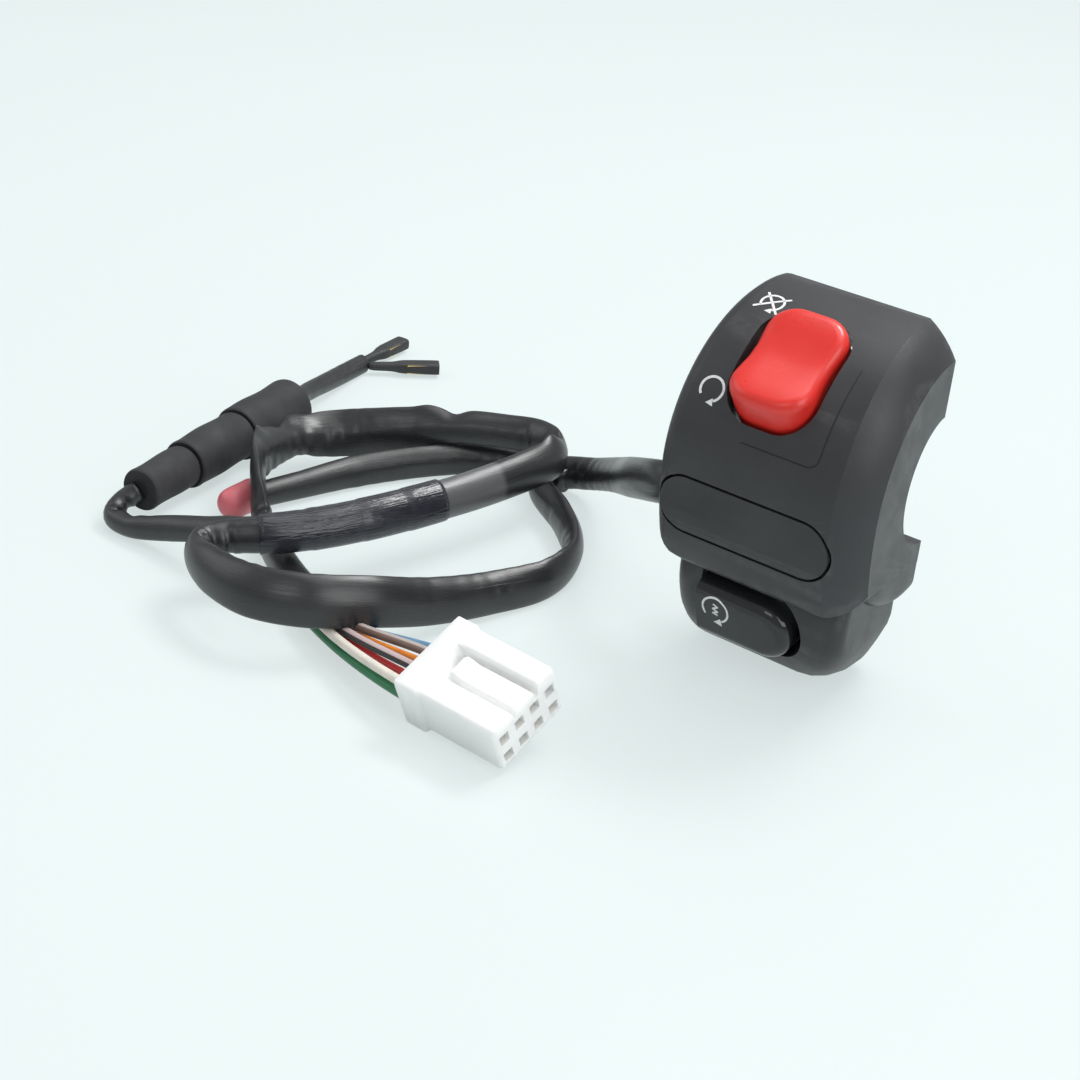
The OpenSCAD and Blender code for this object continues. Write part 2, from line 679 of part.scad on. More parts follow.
// One in the rocker's middle, none at its two ends; and the height of its saddled top
function rocker_middle(y) = pow(cos(180 * y / rocker_l), 2);
function rocker_top(y) = rocker_crest - saddle_depth * rocker_middle(y);

// Outer form of the rocker: straight sides, a rounded rim and a saddle between two raised ends
module rocker_form() {
    rim = [for (k = [0 : rim_steps]) let (turn = 90 * k / rim_steps)
        [for (p = rocker_outline(rocker_rim * (1 - cos(turn)))) [p[0], p[1], rocker_top(p[1]) - rocker_rim * (1 - sin(turn))]]];
    foot_ring = [for (p = rocker_outline(0)) [p[0], p[1], skirt_low]];
    inner = [for (part = [0.64, 0.28]) [for (p = rocker_outline(rocker_rim))
        [part * p[0], part * p[1], rocker_top(part * p[1])]]];
    rings = concat([foot_ring], rim, inner);
    count = len(foot_ring);
    last = len(rings) * count;
    fan = [for (i = [0 : count - 1]) [last - count + i, last - count + (i + 1) % count, last]];
    polyhedron(points = concat([for (ring = rings, p = ring) p], [[0, 0, rocker_top(0)]]), convexity = 4,
        faces = concat(ring_skin(count, len(rings)), fan, [first_end(count)]));
}

// Red rocker at rest, tilted with its upper end pressed
module kill_rocker() {
    color([0.9, 0.13, 0.1]) on_drum() translate([0, 0, pin_out]) rotate([-rocker_tilt, 0, 0])
        translate([0, 0, -pin_out]) difference() {
            union() {
                difference() {
                    rocker_form();
                    translate([-pocket_half[0], -pocket_half[1], 0])
                        cube([2 * pocket_half[0], 2 * pocket_half[1], pocket_top]);
                }
                translate([-hub_half, 0, pin_out]) rotate([0, 90, 0]) cylinder(r = hub_r, h = 2 * hub_half);
                translate([-hub_half, -web_t / 2, pin_out]) cube([2 * hub_half, web_t, pocket_top - pin_out + past / 2]);
                translate([-tail_half, -tail_t / 2, pin_out - tail_l]) cube([2 * tail_half, tail_t, tail_l]);
            }
            translate([-far / 2, 0, pin_out]) rotate([0, 90, 0]) cylinder(d = pin_d + 2 * run_gap, h = far);
        }
}

// A piece of the rocker's tail end, from an inner to an outer radius about the pin
module swing_sector(half, inner, outer) {
    on_drum() translate([0, 0, pin_out]) rotate([-rocker_tilt, 0, 0]) intersection() {
        translate([-half[0], -half[1], -outer]) cube([2 * half[0], 2 * half[1], outer - inner]);
        translate([-far, 0, 0]) rotate([0, 90, 0]) cylinder(r = outer, h = 2 * far, $fn = 180);
    }
}

// Shoe on the rocker's tail that carries the bridge
module contact_shoe() {
    color("ivory") difference() {
        swing_sector(shoe_half, shoe_up, sweep_r - bridge_t - seat_gap / 2);
        on_drum() translate([0, 0, pin_out]) rotate([-rocker_tilt, 0, 0])
            translate([-tail_half - seat_gap, -tail_t / 2 - seat_gap, -tail_l - seat_gap])
                cube([2 * (tail_half + seat_gap), tail_t + 2 * seat_gap, tail_l]);
    }
}

// Brass bridge under the shoe, curved about the pin
module bridge_contact() {
    color("gold") difference() {
        swing_sector([shoe_half[0], bridge_half], sweep_r - 2 * bridge_t, sweep_r);
        on_drum() translate([-far, 0, pin_out]) rotate([0, 90, 0])
            cylinder(r = sweep_r - bridge_t, h = 2 * far, $fn = 180);
    }
}

// Frame of the starter switch: guide for the stem, open window, contact floor and screw foot
module starter_base() {
    color([0.25, 0.25, 0.26]) on_pod() difference() {
        union() {
            translate([-frame_half[0], -frame_half[1], frame_low])
                cube([2 * frame_half[0], 2 * frame_half[1], guide_top - frame_low]);
            translate([-foot[0], -frame_half[1] - foot[1], guide_low]) cube([2 * foot[0], foot[1] + past, foot_t]);
        }
        translate([-window_half, -far, floor_top]) cube([2 * window_half, 2 * far, guide_low - floor_top]);
        cylinder(d = stem_d + 4 * run_gap, h = far);
        for (s = [-1, 1]) translate([s * foot_x, -foot_y, 0]) cylinder(r = screw_r + run_gap, h = far);
        for (s = [-1, 1]) translate([s * pad_x - 0.5 - seat_gap, -0.5 - seat_gap, -far / 2])
            cube([1 + 2 * seat_gap, 1 + 2 * seat_gap, far / 2]);
    }
}

// Two fixed contacts of the starter switch, with tabs through the floor
module starter_contacts() {
    color("darkgoldenrod") on_pod() for (s = [-1, 1]) {
        translate([s * pad_x - 1.25, -1.5, floor_top]) cube([2.5, 3, pad_t]);
        translate([s * pad_x - 0.5, -0.5, frame_low - tab_l]) cube([1, 1, floor_top - frame_low + tab_l + pad_t / 2]);
    }
}

// Half of the button's section, for the round end and the straight run
module button_half(inset, top) {
    r = button_h / 2 - inset;
    round = max(button_round - inset, 0.4);
    translate([0, skirt_end]) square([r, top - round - skirt_end]);
    translate([0, skirt_end]) square([r - round, top - skirt_end]);
    translate([r - round, top - round]) circle(round);
}

// Rounded solid of the button, shrunk by an inset for its hollow
module button_body(inset, top) {
    middle = button_right - button_h / 2;
    left = button_right - button_l + inset;
    translate([middle, 0, 0]) rotate([0, 0, -90]) rotate_extrude(angle = 180) button_half(inset, top);
    for (s = [0, 1]) mirror([0, s, 0]) side_on(left, middle) button_half(inset, top);
}

// Black starter button, hollow, with its stem
module starter_button() {
    color([0.05, 0.05, 0.05]) on_pod() {
        difference() {
            button_body(0, button_face);
            translate([0, 0, -past / 2]) button_body(skirt_wall, button_face - cap_t + past / 2);
        }
        translate([0, 0, stem_low]) cylinder(d = stem_d, h = button_face - cap_t / 2 - stem_low);
        translate([0, 0, stem_low - past]) cylinder(r = rivet_r, h = 2 * past);
    }
}

// Brass bridge riveted under the stem
module starter_bridge() {
    color("gold") on_pod() difference() {
        translate([-6, -1.4, bridge_low]) cube([12, 2.8, stem_low - bridge_low]);
        translate([0, 0, 0]) cylinder(r = rivet_r + press_gap, h = far);
    }
}

// Return spring of the button
module starter_spring() {
    low = guide_top + spring_wire / 2 + seat_gap;
    high = button_face - cap_t - spring_wire / 2 - seat_gap;
    rings = 12;
    path = [for (i = [0 : spring_turns * rings])
        let (a = 360 * i / rings)
        [spring_r * cos(a), spring_r * sin(a), low + (high - low) * i / (spring_turns * rings)]];
    echo("starter spring least gap", least_gap(path, spring_wire, rings - 2));
    color("lightsteelblue") on_pod() tube(path, spring_wire, 6);
}

// Screws that hold the two modules on their posts
module module_screw(plate) {
    translate([0, 0, -plate - screw_head_h]) cylinder(r = screw_head_r, h = screw_head_h);
    translate([0, 0, -plate - screw_head_h / 2]) cylinder(r = screw_r, h = screw_l + screw_head_h / 2 - past);
}

module module_screws() {
    color("silver") {
        at_kill_posts() module_screw(plate_t);
        at_starter_posts() module_screw(foot_t);
    }
}

// Leads from the grommet to the contacts
module inner_leads() {
    color("darkgreen") for (route = kill_lead_routes) tube(smooth(route, 3), inner_lead_d, 8);
    color("firebrick") for (route = starter_lead_routes) tube(smooth(route, 3), inner_lead_d, 8);
}

// Main sleeve of the harness
module harness_sleeve() {
    echo("harness sleeve least gap", least_gap(sleeve_path, sleeve_d, 10));
    color([0.12, 0.12, 0.13]) tube(sleeve_path, sleeve_d, 8);
}

// Tape wound on the sleeve where the branch leaves it
module tape_wrap() {
    color([0.03, 0.03, 0.04]) tube(tape_path, sleeve_d + 2 * tape_t, 8);
}

// Local frame of the connector: X out of its front, Y across, Z out of its ribbed top
module on_connector() {
    lift = connector[1] / 2 * sin(connector_tip);
    translate([connector_at[0], connector_at[1], table_z + lift]) rotate([0, 0, connector_turn])
        rotate([connector_tip, 0, 0]) children();
}

// Middle of one way in the connector's rear face
function way_place(i) = [0, (i % 4 - 1.5) * way_pitch[0], connector[2] / 2 + (floor(i / 4) - 0.5) * way_pitch[1]];

// A point of the connector's frame in the frame of the part
function connector_point(p) =
    let (y = p[1] * cos(connector_tip) - p[2] * sin(connector_tip),
        z = p[1] * sin(connector_tip) + p[2] * cos(connector_tip) + connector[1] / 2 * sin(connector_tip))
    [connector_at[0] + p[0] * cos(connector_turn) - y * sin(connector_turn),
        connector_at[1] + p[0] * sin(connector_turn) + y * cos(connector_turn), table_z + z];

// White connector with three ribs, a collar and its ways
module connector_housing() {
    rib = [connector[0] - 3, 2.6, 1.2];
    color("white") on_connector() difference() {
        union() {
            translate([0, -connector[1] / 2, 0]) cube(connector);
            for (s = [-1, 0, 1]) translate([3, s * (connector[1] - rib[1]) / 2 - rib[1] / 2, connector[2] - past])
                cube([rib[0], rib[1], rib[2] + past]);
            translate([0, -connector[1] / 2, connector[2] - past]) cube([3, connector[1], rib[2] + past]);
        }
        for (i = [0 : 7]) translate(way_place(i)) translate([-past, -way / 2, -way / 2])
            cube([connector[0] + 2 * past, way, way]);
    }
}

// Brass sockets in the ways that carry a wire
module connector_sockets() {
    size = way - 2 * seat_gap;
    color("goldenrod") on_connector() for (i = [0 : 6]) translate(way_place(i)) difference() {
        translate([4, -size / 2, -size / 2]) cube([connector[0] - 6, size, size]);
        translate([connector[0] / 2, -size / 4, -size / 4]) cube([connector[0], size / 2, size / 2]);
    }
}

// Seven coloured wires that fan out of the sleeve into the connector
module harness_wires() {
    colours = ["seagreen", "ivory", "crimson", "black", "orange", "rosybrown", "steelblue"];
    out = unit(sleeve_route[len(sleeve_route) - 1] - sleeve_route[len(sleeve_route) - 2]);
    across = [-out[1], out[0], 0];
    pitch = wire_d + 0.1;
    for (i = [0 : 6]) {
        row = floor(i / 4);
        off = pitch * ((i % 4 - 1.5) * across + [0, 0, row - 0.5]);
        from = sleeve_route[len(sleeve_route) - 1] + off;
        to = connector_point(way_place(i) + [4, 0, 0]);
        mid_a = from + 12 * out;
        mid_b = connector_point(way_place(i) + [-9, 0, 0]);
        path = [for (k = [0 : 12]) let (t = k / 12, u = 1 - t)
            u * u * u * from + 3 * u * u * t * mid_a + 3 * u * t * t * mid_b + t * t * t * to];
        color(colours[i]) tube(path, wire_d, 8);
    }
}

// Branch that leaves the sleeve under the tape
module branch_tube() {
    color([0.14, 0.14, 0.15]) tube(smooth(branch_route, 3), branch_d, 8);
}

// One of the stepped sleeves, at its place along the stack
module stack_sleeve(i) {
    line = stack_end - stack_start;
    from = i == 0 ? 0 : i == 1 ? shrink_l[0] : shrink_l[0] + shrink_l[1];
    color([0.17, 0.17, 0.18]) translate(stack_start) rotate([0, 0, atan2(line[1], line[0])]) rotate([0, 90, 0])
        translate([0, 0, from]) cylinder(d = shrink_d[i], h = shrink_l[i]);
}

module shrink_small() { stack_sleeve(0); }
module shrink_mid() { stack_sleeve(1); }
module shrink_large() { stack_sleeve(2); }

// Tube from the stack to the two terminals
module terminal_tube() {
    color([0.14, 0.14, 0.15]) tube(smooth(terminal_route, 3), terminal_d, 8);
}

module at_boots() {
    for (p = boot_places) translate([p[0], p[1], p[2]]) rotate([0, 0, p[3]]) children();
}

// Two insulated terminals on short leads
module terminal_boots() {
    color([0.16, 0.16, 0.17]) at_boots() difference() {
        union() {
            rotate([0, 90, 0]) cylinder(r = neck_r, h = neck_l + past);
            translate([neck_l, -boot[1] / 2, -boot[2] / 2]) cube(boot);
        }
        translate([neck_l + 2, -boot[1] / 2 + 0.6, -boot[2] / 2 + 0.6]) cube([boot[0], boot[1] - 1.2, boot[2] - 1.2]);
    }
}

// Brass sockets in the two boots
module terminal_sockets() {
    size = [boot[0] - 3, boot[1] - 1.2 - 2 * seat_gap, boot[2] - 1.2 - 2 * seat_gap];
    color("goldenrod") at_boots() translate([neck_l + 2, -size[1] / 2, -size[2] / 2]) difference() {
        cube(size);
        translate([2, 0.5, 0.5]) cube([size[0], size[1] - 1, size[2] - 1]);
    }
}

// Short lead behind the loop and its red cap
module capped_lead() {
    color([0.13, 0.13, 0.14]) tube(smooth(lead_route, 4), lead_d, 8);
}

module red_cap() {
    end = lead_route[len(lead_route) - 1];
    color([0.85, 0.2, 0.22]) translate([end[0], end[1], table_z + cap_r]) rotate([90, 0, 0]) {
        cylinder(r = cap_r, h = cap_l - cap_r / 2);
        translate([0, 0, cap_l - cap_r]) sphere(cap_r);
    }
}

front_housing();
blank_cover();
screw_inserts();
cable_grommet();
kill_carrier();
rocker_pin();
kill_contacts();
kill_rocker();
contact_shoe();
bridge_contact();
starter_base();
starter_contacts();
starter_button();
starter_bridge();
starter_spring();
module_screws();
inner_leads();
harness_sleeve();
tape_wrap();
harness_wires();
connector_housing();
connector_sockets();
branch_tube();
shrink_small();
shrink_mid();
shrink_large();
terminal_tube();
terminal_boots();
terminal_sockets();
capped_lead();
red_cap();
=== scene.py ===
import math

import bmesh
import bpy
import numpy as np
from mathutils import Matrix, Vector


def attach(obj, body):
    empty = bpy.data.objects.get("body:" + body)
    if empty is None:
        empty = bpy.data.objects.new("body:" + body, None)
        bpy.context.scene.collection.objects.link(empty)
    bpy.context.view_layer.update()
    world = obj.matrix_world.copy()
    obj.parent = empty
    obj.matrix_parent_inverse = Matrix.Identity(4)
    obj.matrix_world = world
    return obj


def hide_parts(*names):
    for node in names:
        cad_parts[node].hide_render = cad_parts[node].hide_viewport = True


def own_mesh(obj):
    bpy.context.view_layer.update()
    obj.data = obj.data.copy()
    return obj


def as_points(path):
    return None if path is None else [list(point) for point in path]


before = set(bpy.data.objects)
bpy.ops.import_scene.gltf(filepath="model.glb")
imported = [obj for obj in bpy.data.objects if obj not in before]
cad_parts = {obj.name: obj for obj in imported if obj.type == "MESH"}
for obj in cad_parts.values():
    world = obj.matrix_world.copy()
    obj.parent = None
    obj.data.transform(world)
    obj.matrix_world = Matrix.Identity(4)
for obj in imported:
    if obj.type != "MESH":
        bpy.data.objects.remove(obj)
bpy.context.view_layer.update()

MM = 0.001
TABLE = -0.037
ABOVE_TABLE = TABLE + 0.00005
FOCAL_PIXELS, PHOTO_WIDTH, SENSOR_WIDTH = 2000, 1080, 36.0
scene = bpy.context.scene
scene.view_settings.view_transform = "Standard"


# Camera

def set_camera():
    data = bpy.data.cameras.new("photo_camera")
    data.sensor_fit = "HORIZONTAL"
    data.sensor_width = SENSOR_WIDTH
    data.lens = SENSOR_WIDTH * FOCAL_PIXELS / PHOTO_WIDTH
    data.clip_start = 0.01
    data.clip_end = 30.0
    camera = bpy.data.objects.new("photo_camera", data)
    scene.collection.objects.link(camera)
    right = (0.79488857, 0.60157466, 0.07912068)
    up = (-0.34328406, 0.33836149, 0.8761664)
    back = (0.50030811, -0.72361553, 0.47547067)
    place = (0.113716, -0.273329, 0.139107)
    camera.matrix_world = Matrix([(right[k], up[k], back[k], place[k]) for k in range(3)] + [(0, 0, 0, 1)])
    scene.camera = camera


set_camera()


# Node helpers

def blank_material(name):
    material = bpy.data.materials.new(name)
    material.use_nodes = True
    tree = material.node_tree
    return material, tree, tree.nodes["Principled BSDF"]


def feed(tree, node, sockets):
    """Gives each named socket of a node a value, or a link from another node"""
    for key, value in sockets.items():
        if isinstance(value, bpy.types.NodeSocket):
            tree.links.new(value, node.inputs[key])
        else:
            node.inputs[key].default_value = value


def add(tree, kind, sockets=None, **settings):
    node = tree.nodes.new(kind)
    for key, value in settings.items():
        setattr(node, key, value)
    feed(tree, node, sockets or {})
    return node


def calculated(tree, operation, first, second):
    return add(tree, "ShaderNodeMath", {0: first, 1: second}, operation=operation).outputs["Value"]


def object_place(tree):
    return add(tree, "ShaderNodeTexCoord").outputs["Object"]


def surface_place(tree):
    return add(tree, "ShaderNodeTexCoord").outputs["UV"]


def cloud(tree, place, scale, detail, rough=0.55, distortion=0.0):
    """Noise of one scale, or of a scale for each direction"""
    if isinstance(scale, tuple):
        place, scale = add(tree, "ShaderNodeMapping", {"Vector": place, "Scale": scale}).outputs["Vector"], 1.0
    return add(tree, "ShaderNodeTexNoise", {
        "Vector": place, "Scale": scale, "Detail": detail, "Roughness": rough, "Distortion": distortion,
    }).outputs["Fac"]


def levels(tree, value, low, high, to_low, to_high):
    return add(tree, "ShaderNodeMapRange", {
        "Value": value, "From Min": low, "From Max": high, "To Min": to_low, "To Max": to_high,
    }).outputs["Result"]


# Levels of the noise between which a finish goes from one state to the other
NOISE_LOW, NOISE_HIGH = 0.3, 0.7


def patchy(tree, place, scale, detail, rough, low=NOISE_LOW, high=NOISE_HIGH):
    """Roughness that wanders between two values"""
    return levels(tree, cloud(tree, place, scale, detail), low, high, *rough)


def mottled(tree, place, scale, detail, dark, light, low=NOISE_LOW, high=NOISE_HIGH):
    """A tone that wanders between two colours"""
    node = add(tree, "ShaderNodeValToRGB", {"Fac": cloud(tree, place, scale, detail)})
    for element, level, colour in zip(node.color_ramp.elements, (low, high), (dark, light)):
        element.position = level
        element.color = (*colour, 1.0)
    return node.outputs["Color"]


def blended(tree, amount, first, second):
    sockets = {0: amount, 6: first, 7: second}
    for key in (6, 7):
        if isinstance(sockets[key], tuple):
            sockets[key] = (*sockets[key], 1.0)
    return add(tree, "ShaderNodeMix", sockets, data_type="RGBA").outputs[2]


def relief(tree, height, depth, strength, under=None):
    sockets = {"Height": height, "Distance": depth, "Strength": strength}
    if under is not None:
        sockets["Normal"] = under
    return add(tree, "ShaderNodeBump", sockets).outputs["Normal"]


def between(tree, run, axis, first, last, soft_first, soft_last):
    """One inside a stretch of a coordinate and none outside it, with soft ends"""
    value = add(tree, "ShaderNodeSeparateXYZ", {"Vector": run}).outputs[axis]
    begins = levels(tree, value, first, first + soft_first, 0.0, 1.0)
    ends = levels(tree, value, last - soft_last, last, 1.0, 0.0)
    return calculated(tree, "MULTIPLY", begins, ends)


def worn_edges(tree, place, low, high):
    """Rubbed edges, broken up so that the wear is uneven"""
    point = add(tree, "ShaderNodeNewGeometry").outputs["Pointiness"]
    broken = levels(tree, cloud(tree, place, 420.0, 4.0), 0.35, 0.7, 0.1, 1.0)
    return calculated(tree, "MULTIPLY", levels(tree, point, low, high, 0.0, 1.0), broken)


# Finishes

def plain_finish(name, tone, rough, bumps, rub=None, stripe=None, sockets=None):
    """Mottled tone, patchy roughness and layers of fine relief, with rubbed edges or a stripe where asked"""
    material, tree, shader = blank_material(name)
    place = object_place(tree)
    base = mottled(tree, place, *tone)
    if rub is not None:
        low, high, worn = rub
        base = blended(tree, worn_edges(tree, place, low, high), base, worn)
    if stripe is not None:
        tracer, first, last = stripe
        on_stripe = between(tree, surface_place(tree), "Y", first, last, 0.02, 0.02)
        base = blended(tree, on_stripe, base, tracer)
    normal = None
    for scale, detail, depth, strength in bumps:
        normal = relief(tree, cloud(tree, place, scale, detail), depth, strength, normal)
    feed(tree, shader, {
        "Base Color": base, "Roughness": patchy(tree, place, *rough), "Normal": normal, **(sockets or {})})
    return material


def moulded_plastic(name, dark, light, rub, rough, grain, depth):
    """Plastic with the fine spark texture of its mould"""
    return plain_finish(
        name, (85.0, 4.0, dark, light, NOISE_LOW, 0.72), (130.0, 3.0, rough),
        [(grain, 2.0, depth, 0.55), (190.0, 2.0, 0.00006, 0.35)], (0.53, 0.62, rub),
        sockets={"Specular IOR Level": 0.42})


def rubber_skin(name, dark, light, rough):
    return plain_finish(
        name, (160.0, 4.0, dark, light), (330.0, 3.0, rough), [(2400.0, 3.0, 0.00003, 0.6)])


def wire_skin(name, colour, stripe=None):
    """Thin wire covering, with a tracer stripe where it has one"""
    dark = tuple(c * 0.82 for c in colour)
    return plain_finish(
        name, (300.0, 3.0, dark, colour), (420.0, 3.0, (0.32, 0.46)), [(900.0, 2.0, 0.00003, 0.5)],
        stripe=stripe)


def bright_metal(name, dark, light, rough, lines):
    """Drawn or turned metal with fine tool lines and a dull tarnish in patches"""
    return plain_finish(
        name, (380.0, 5.0, dark, light), (520.0, 4.0, rough), [(lines, 3.0, 0.00002, 0.5)],
        sockets={"Metallic": 1.0})


def soft_vinyl(name, dark, light, rough, crease, smooth_part=None):
    """Limp sleeving: long draw lines, a fine leathery grain and dull patches from handling"""
    material, tree, shader = blank_material(name)
    place, run = object_place(tree), surface_place(tree)
    base = mottled(tree, place, 120.0, 4.0, dark, light)
    if smooth_part is not None:
        paler = between(tree, run, "X", *smooth_part, 0.0004, 0.0012)
        base = blended(tree, paler, base, (0.11, 0.11, 0.116))
    lines = cloud(tree, run, (70.0, 160.0, 1.0), 2.0, 0.45, 0.6)
    drawn = relief(tree, lines, crease, 0.8)
    feed(tree, shader, {
        "Base Color": base,
        "Roughness": patchy(tree, run, (90.0, 120.0, 1.0), 2.0, rough),
        "Specular IOR Level": 0.62,
        "Normal": relief(tree, cloud(tree, place, 3800.0, 2.0), 0.000008, 0.3, drawn),
    })
    return material


def shiny_tape(name):
    """Wound tape: laps across the run, small air wrinkles and a high gloss"""
    material, tree, shader = blank_material(name)
    place, run = object_place(tree), surface_place(tree)
    wrinkle = cloud(tree, run, (230.0, 70.0, 1.0), 2.0, 0.45, 0.6)
    lap = add(tree, "ShaderNodeTexWave", {"Vector": run, "Scale": 14.0, "Distortion": 0.6},
              wave_type="BANDS", bands_direction="X", wave_profile="SAW")
    steps = relief(tree, lap.outputs["Fac"], 0.00018, 0.7)
    feed(tree, shader, {
        "Base Color": mottled(tree, place, 140.0, 4.0, (0.022, 0.0225, 0.030), (0.034, 0.0345, 0.044)),
        "Roughness": levels(tree, wrinkle, NOISE_LOW, NOISE_HIGH, 0.12, 0.18),
        "Normal": relief(tree, wrinkle, 0.00022, 0.6, steps),
    })
    return material


def printed_white(name):
    """Pad-printed marks, a little thin and broken where the ink is worn"""
    material, tree, shader = blank_material(name)
    place = object_place(tree)
    worn = levels(tree, cloud(tree, place, 2600.0, 4.0), 0.36, 0.5, 0.25, 0.0)
    feed(tree, shader, {
        "Base Color": blended(tree, worn, (0.80, 0.81, 0.82), (0.22, 0.22, 0.23)),
        "Roughness": patchy(tree, place, 700.0, 2.0, (0.45, 0.6)),
        "Normal": relief(tree, cloud(tree, place, 5200.0, 2.0), 0.00003, 0.4),
    })
    return material


# Stretch of the sleeve beyond the tape, in metres along it
SMOOTH_STRETCH = (0.2372, 0.2510)
housing_black = moulded_plastic(
    "housing_black", (0.029, 0.0293, 0.0325), (0.038, 0.0384, 0.042), (0.066, 0.066, 0.070),
    (0.37, 0.49), 5200.0, 0.00005)
cover_black = moulded_plastic(
    "cover_black", (0.027, 0.0273, 0.030), (0.035, 0.0354, 0.039), (0.056, 0.056, 0.060),
    (0.42, 0.54), 5600.0, 0.00005)
carrier_black = moulded_plastic(
    "carrier_black", (0.03, 0.03, 0.032), (0.042, 0.042, 0.045), (0.07, 0.07, 0.072),
    (0.38, 0.5), 3600.0, 0.00003)
rocker_red = plain_finish(
    "rocker_red", (70.0, 3.0, (0.69, 0.024, 0.018), (0.73, 0.029, 0.021)), (160.0, 4.0, (0.26, 0.36)),
    [(2600.0, 2.0, 0.00001, 0.4)], (0.58, 0.74, (0.76, 0.042, 0.032)), sockets={
        "Subsurface Weight": 0.06, "Subsurface Radius": (1.0, 0.25, 0.15), "Subsurface Scale": 0.0006,
        "Coat Weight": 0.12, "Coat Roughness": 0.2})
# Polished plastic with fine scuffs along it
button_black = plain_finish(
    "button_black", (95.0, 3.0, (0.014, 0.0145, 0.016), (0.020, 0.0205, 0.022)),
    ((260.0, 900.0, 260.0), 5.0, (0.07, 0.16), 0.35, 0.75), [(700.0, 2.0, 0.00001, 0.25)])
slider_ivory = moulded_plastic(
    "slider_ivory", (0.66, 0.60, 0.46), (0.74, 0.68, 0.55), (0.80, 0.76, 0.66), (0.34, 0.46), 3000.0, 0.00002)
# Unpigmented nylon, with light passing a little way into it
connector_white = plain_finish(
    "connector_white", (110.0, 4.0, (0.90, 0.905, 0.895), (0.95, 0.95, 0.94)), (240.0, 3.0, (0.30, 0.44)),
    [(1500.0, 3.0, 0.00002, 0.5)], sockets={
        "Subsurface Weight": 0.35, "Subsurface Radius": (1.0, 1.0, 0.95), "Subsurface Scale": 0.0018})
sleeve_black = soft_vinyl(
    "sleeve_black", (0.015, 0.0153, 0.0168), (0.022, 0.0224, 0.0244),
    (0.27, 0.33), 0.00004, SMOOTH_STRETCH)
lead_black = soft_vinyl("lead_black", (0.016, 0.0162, 0.0175), (0.024, 0.0242, 0.026), (0.28, 0.40), 0.00012)
tape_black = shiny_tape("tape_black")
# Shrunk sleeving: dull, with shallow dents where it lies over the joint below
shrink_black = plain_finish(
    "shrink_black", (150.0, 5.0, (0.030, 0.0302, 0.032), (0.046, 0.046, 0.049), 0.28, 0.75),
    (220.0, 4.0, (0.62, 0.82)), [(260.0, 3.0, 0.00035, 0.6), (4200.0, 2.0, 0.00002, 0.5)],
    sockets={"Specular IOR Level": 0.3})
grommet_rubber = rubber_skin("grommet_rubber", (0.012, 0.012, 0.0125), (0.02, 0.02, 0.021), (0.6, 0.75))
boot_black = rubber_skin("boot_black", (0.02, 0.02, 0.021), (0.034, 0.034, 0.036), (0.5, 0.64))
cap_red = rubber_skin("cap_red", (0.66, 0.14, 0.165), (0.76, 0.19, 0.22), (0.32, 0.45))
contact_brass = bright_metal(
    "contact_brass", (0.62, 0.42, 0.14), (0.80, 0.58, 0.24), (0.2, 0.36), (300.0, 2600.0, 300.0))
pin_steel = bright_metal(
    "pin_steel", (0.52, 0.52, 0.54), (0.68, 0.68, 0.70), (0.18, 0.34), (2600.0, 300.0, 300.0))
mark_white = printed_white("mark_white")
# Near black for the groove line by the rocker: painted shade standing in for the shadow inside the groove
painted_groove_shade = rubber_skin("painted_groove_shade", (0.004, 0.004, 0.0042), (0.007, 0.007, 0.0074), (0.6, 0.75))
WIRE_SKINS = [
    wire_skin("wire_green", (0.03, 0.20, 0.085)),
    wire_skin("wire_red", (0.66, 0.045, 0.045)),
    wire_skin("wire_orange", (0.88, 0.27, 0.03)),
    wire_skin("wire_blue", (0.14, 0.30, 0.48)),
    wire_skin("wire_white", (0.80, 0.74, 0.66)),
    wire_skin("wire_black", (0.03, 0.03, 0.032), ((0.55, 0.42, 0.42), 0.1, 0.34)),
    wire_skin("wire_brown", (0.24, 0.15, 0.12), ((0.46, 0.40, 0.38), 0.15, 0.37)),
]


# Mesh helpers

def new_piece(name, mesh, material):
    piece = bpy.data.objects.new(name, mesh)
    scene.collection.objects.link(piece)
    mesh.materials.clear()
    mesh.materials.append(material)
    return piece


def settle(piece, body, slot, *nodes):
    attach(piece, body)
    if nodes:
        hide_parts(*nodes)
    return piece


def shade(mesh, angle):
    mesh.polygons.foreach_set("use_smooth", [True] * len(mesh.polygons))
    mesh.set_sharp_from_angle(angle=math.radians(angle))


def pairs(count):
    """Each place on a closed ring with the next one"""
    return [(j, (j + 1) % count) for j in range(count)]


def lofted(shape, rows):
    for a, b in zip(rows[:-1], rows[1:]):
        for j, k in pairs(len(a)):
            shape.faces.new((a[j], a[k], b[k], b[j]))


def faces_outwards(shape):
    bmesh.ops.recalc_face_normals(shape, faces=shape.faces)


def mesh_from(name, shape):
    faces_outwards(shape)
    mesh = bpy.data.meshes.new(name)
    shape.to_mesh(mesh)
    shape.free()
    return mesh


def reworked(mesh, work):
    shape = bmesh.new()
    shape.from_mesh(mesh)
    work(shape)
    shape.to_mesh(mesh)
    shape.free()


def dressed(node, body, slot, material, easing, angle=32, segments=2):
    """A finished copy of a solid, merged, with its edges eased and shaded smooth"""
    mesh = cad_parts[node].data.copy()
    mesh.name = node + "_finish"
    reworked(mesh, lambda shape: bmesh.ops.remove_doubles(shape, verts=shape.verts, dist=0.000004))
    if mesh.has_custom_normals:
        mesh.attributes.remove(mesh.attributes["custom_normal"])
    piece = new_piece(node + "_finish", mesh, material)
    shade(mesh, angle)
    bevel = piece.modifiers.new("rounded_edges", "BEVEL")
    bevel.width = easing
    bevel.segments = segments
    bevel.limit_method = "ANGLE"
    bevel.angle_limit = math.radians(angle)
    bevel.use_clamp_overlap = True
    bevel.harden_normals = True
    return settle(piece, body, slot, node)


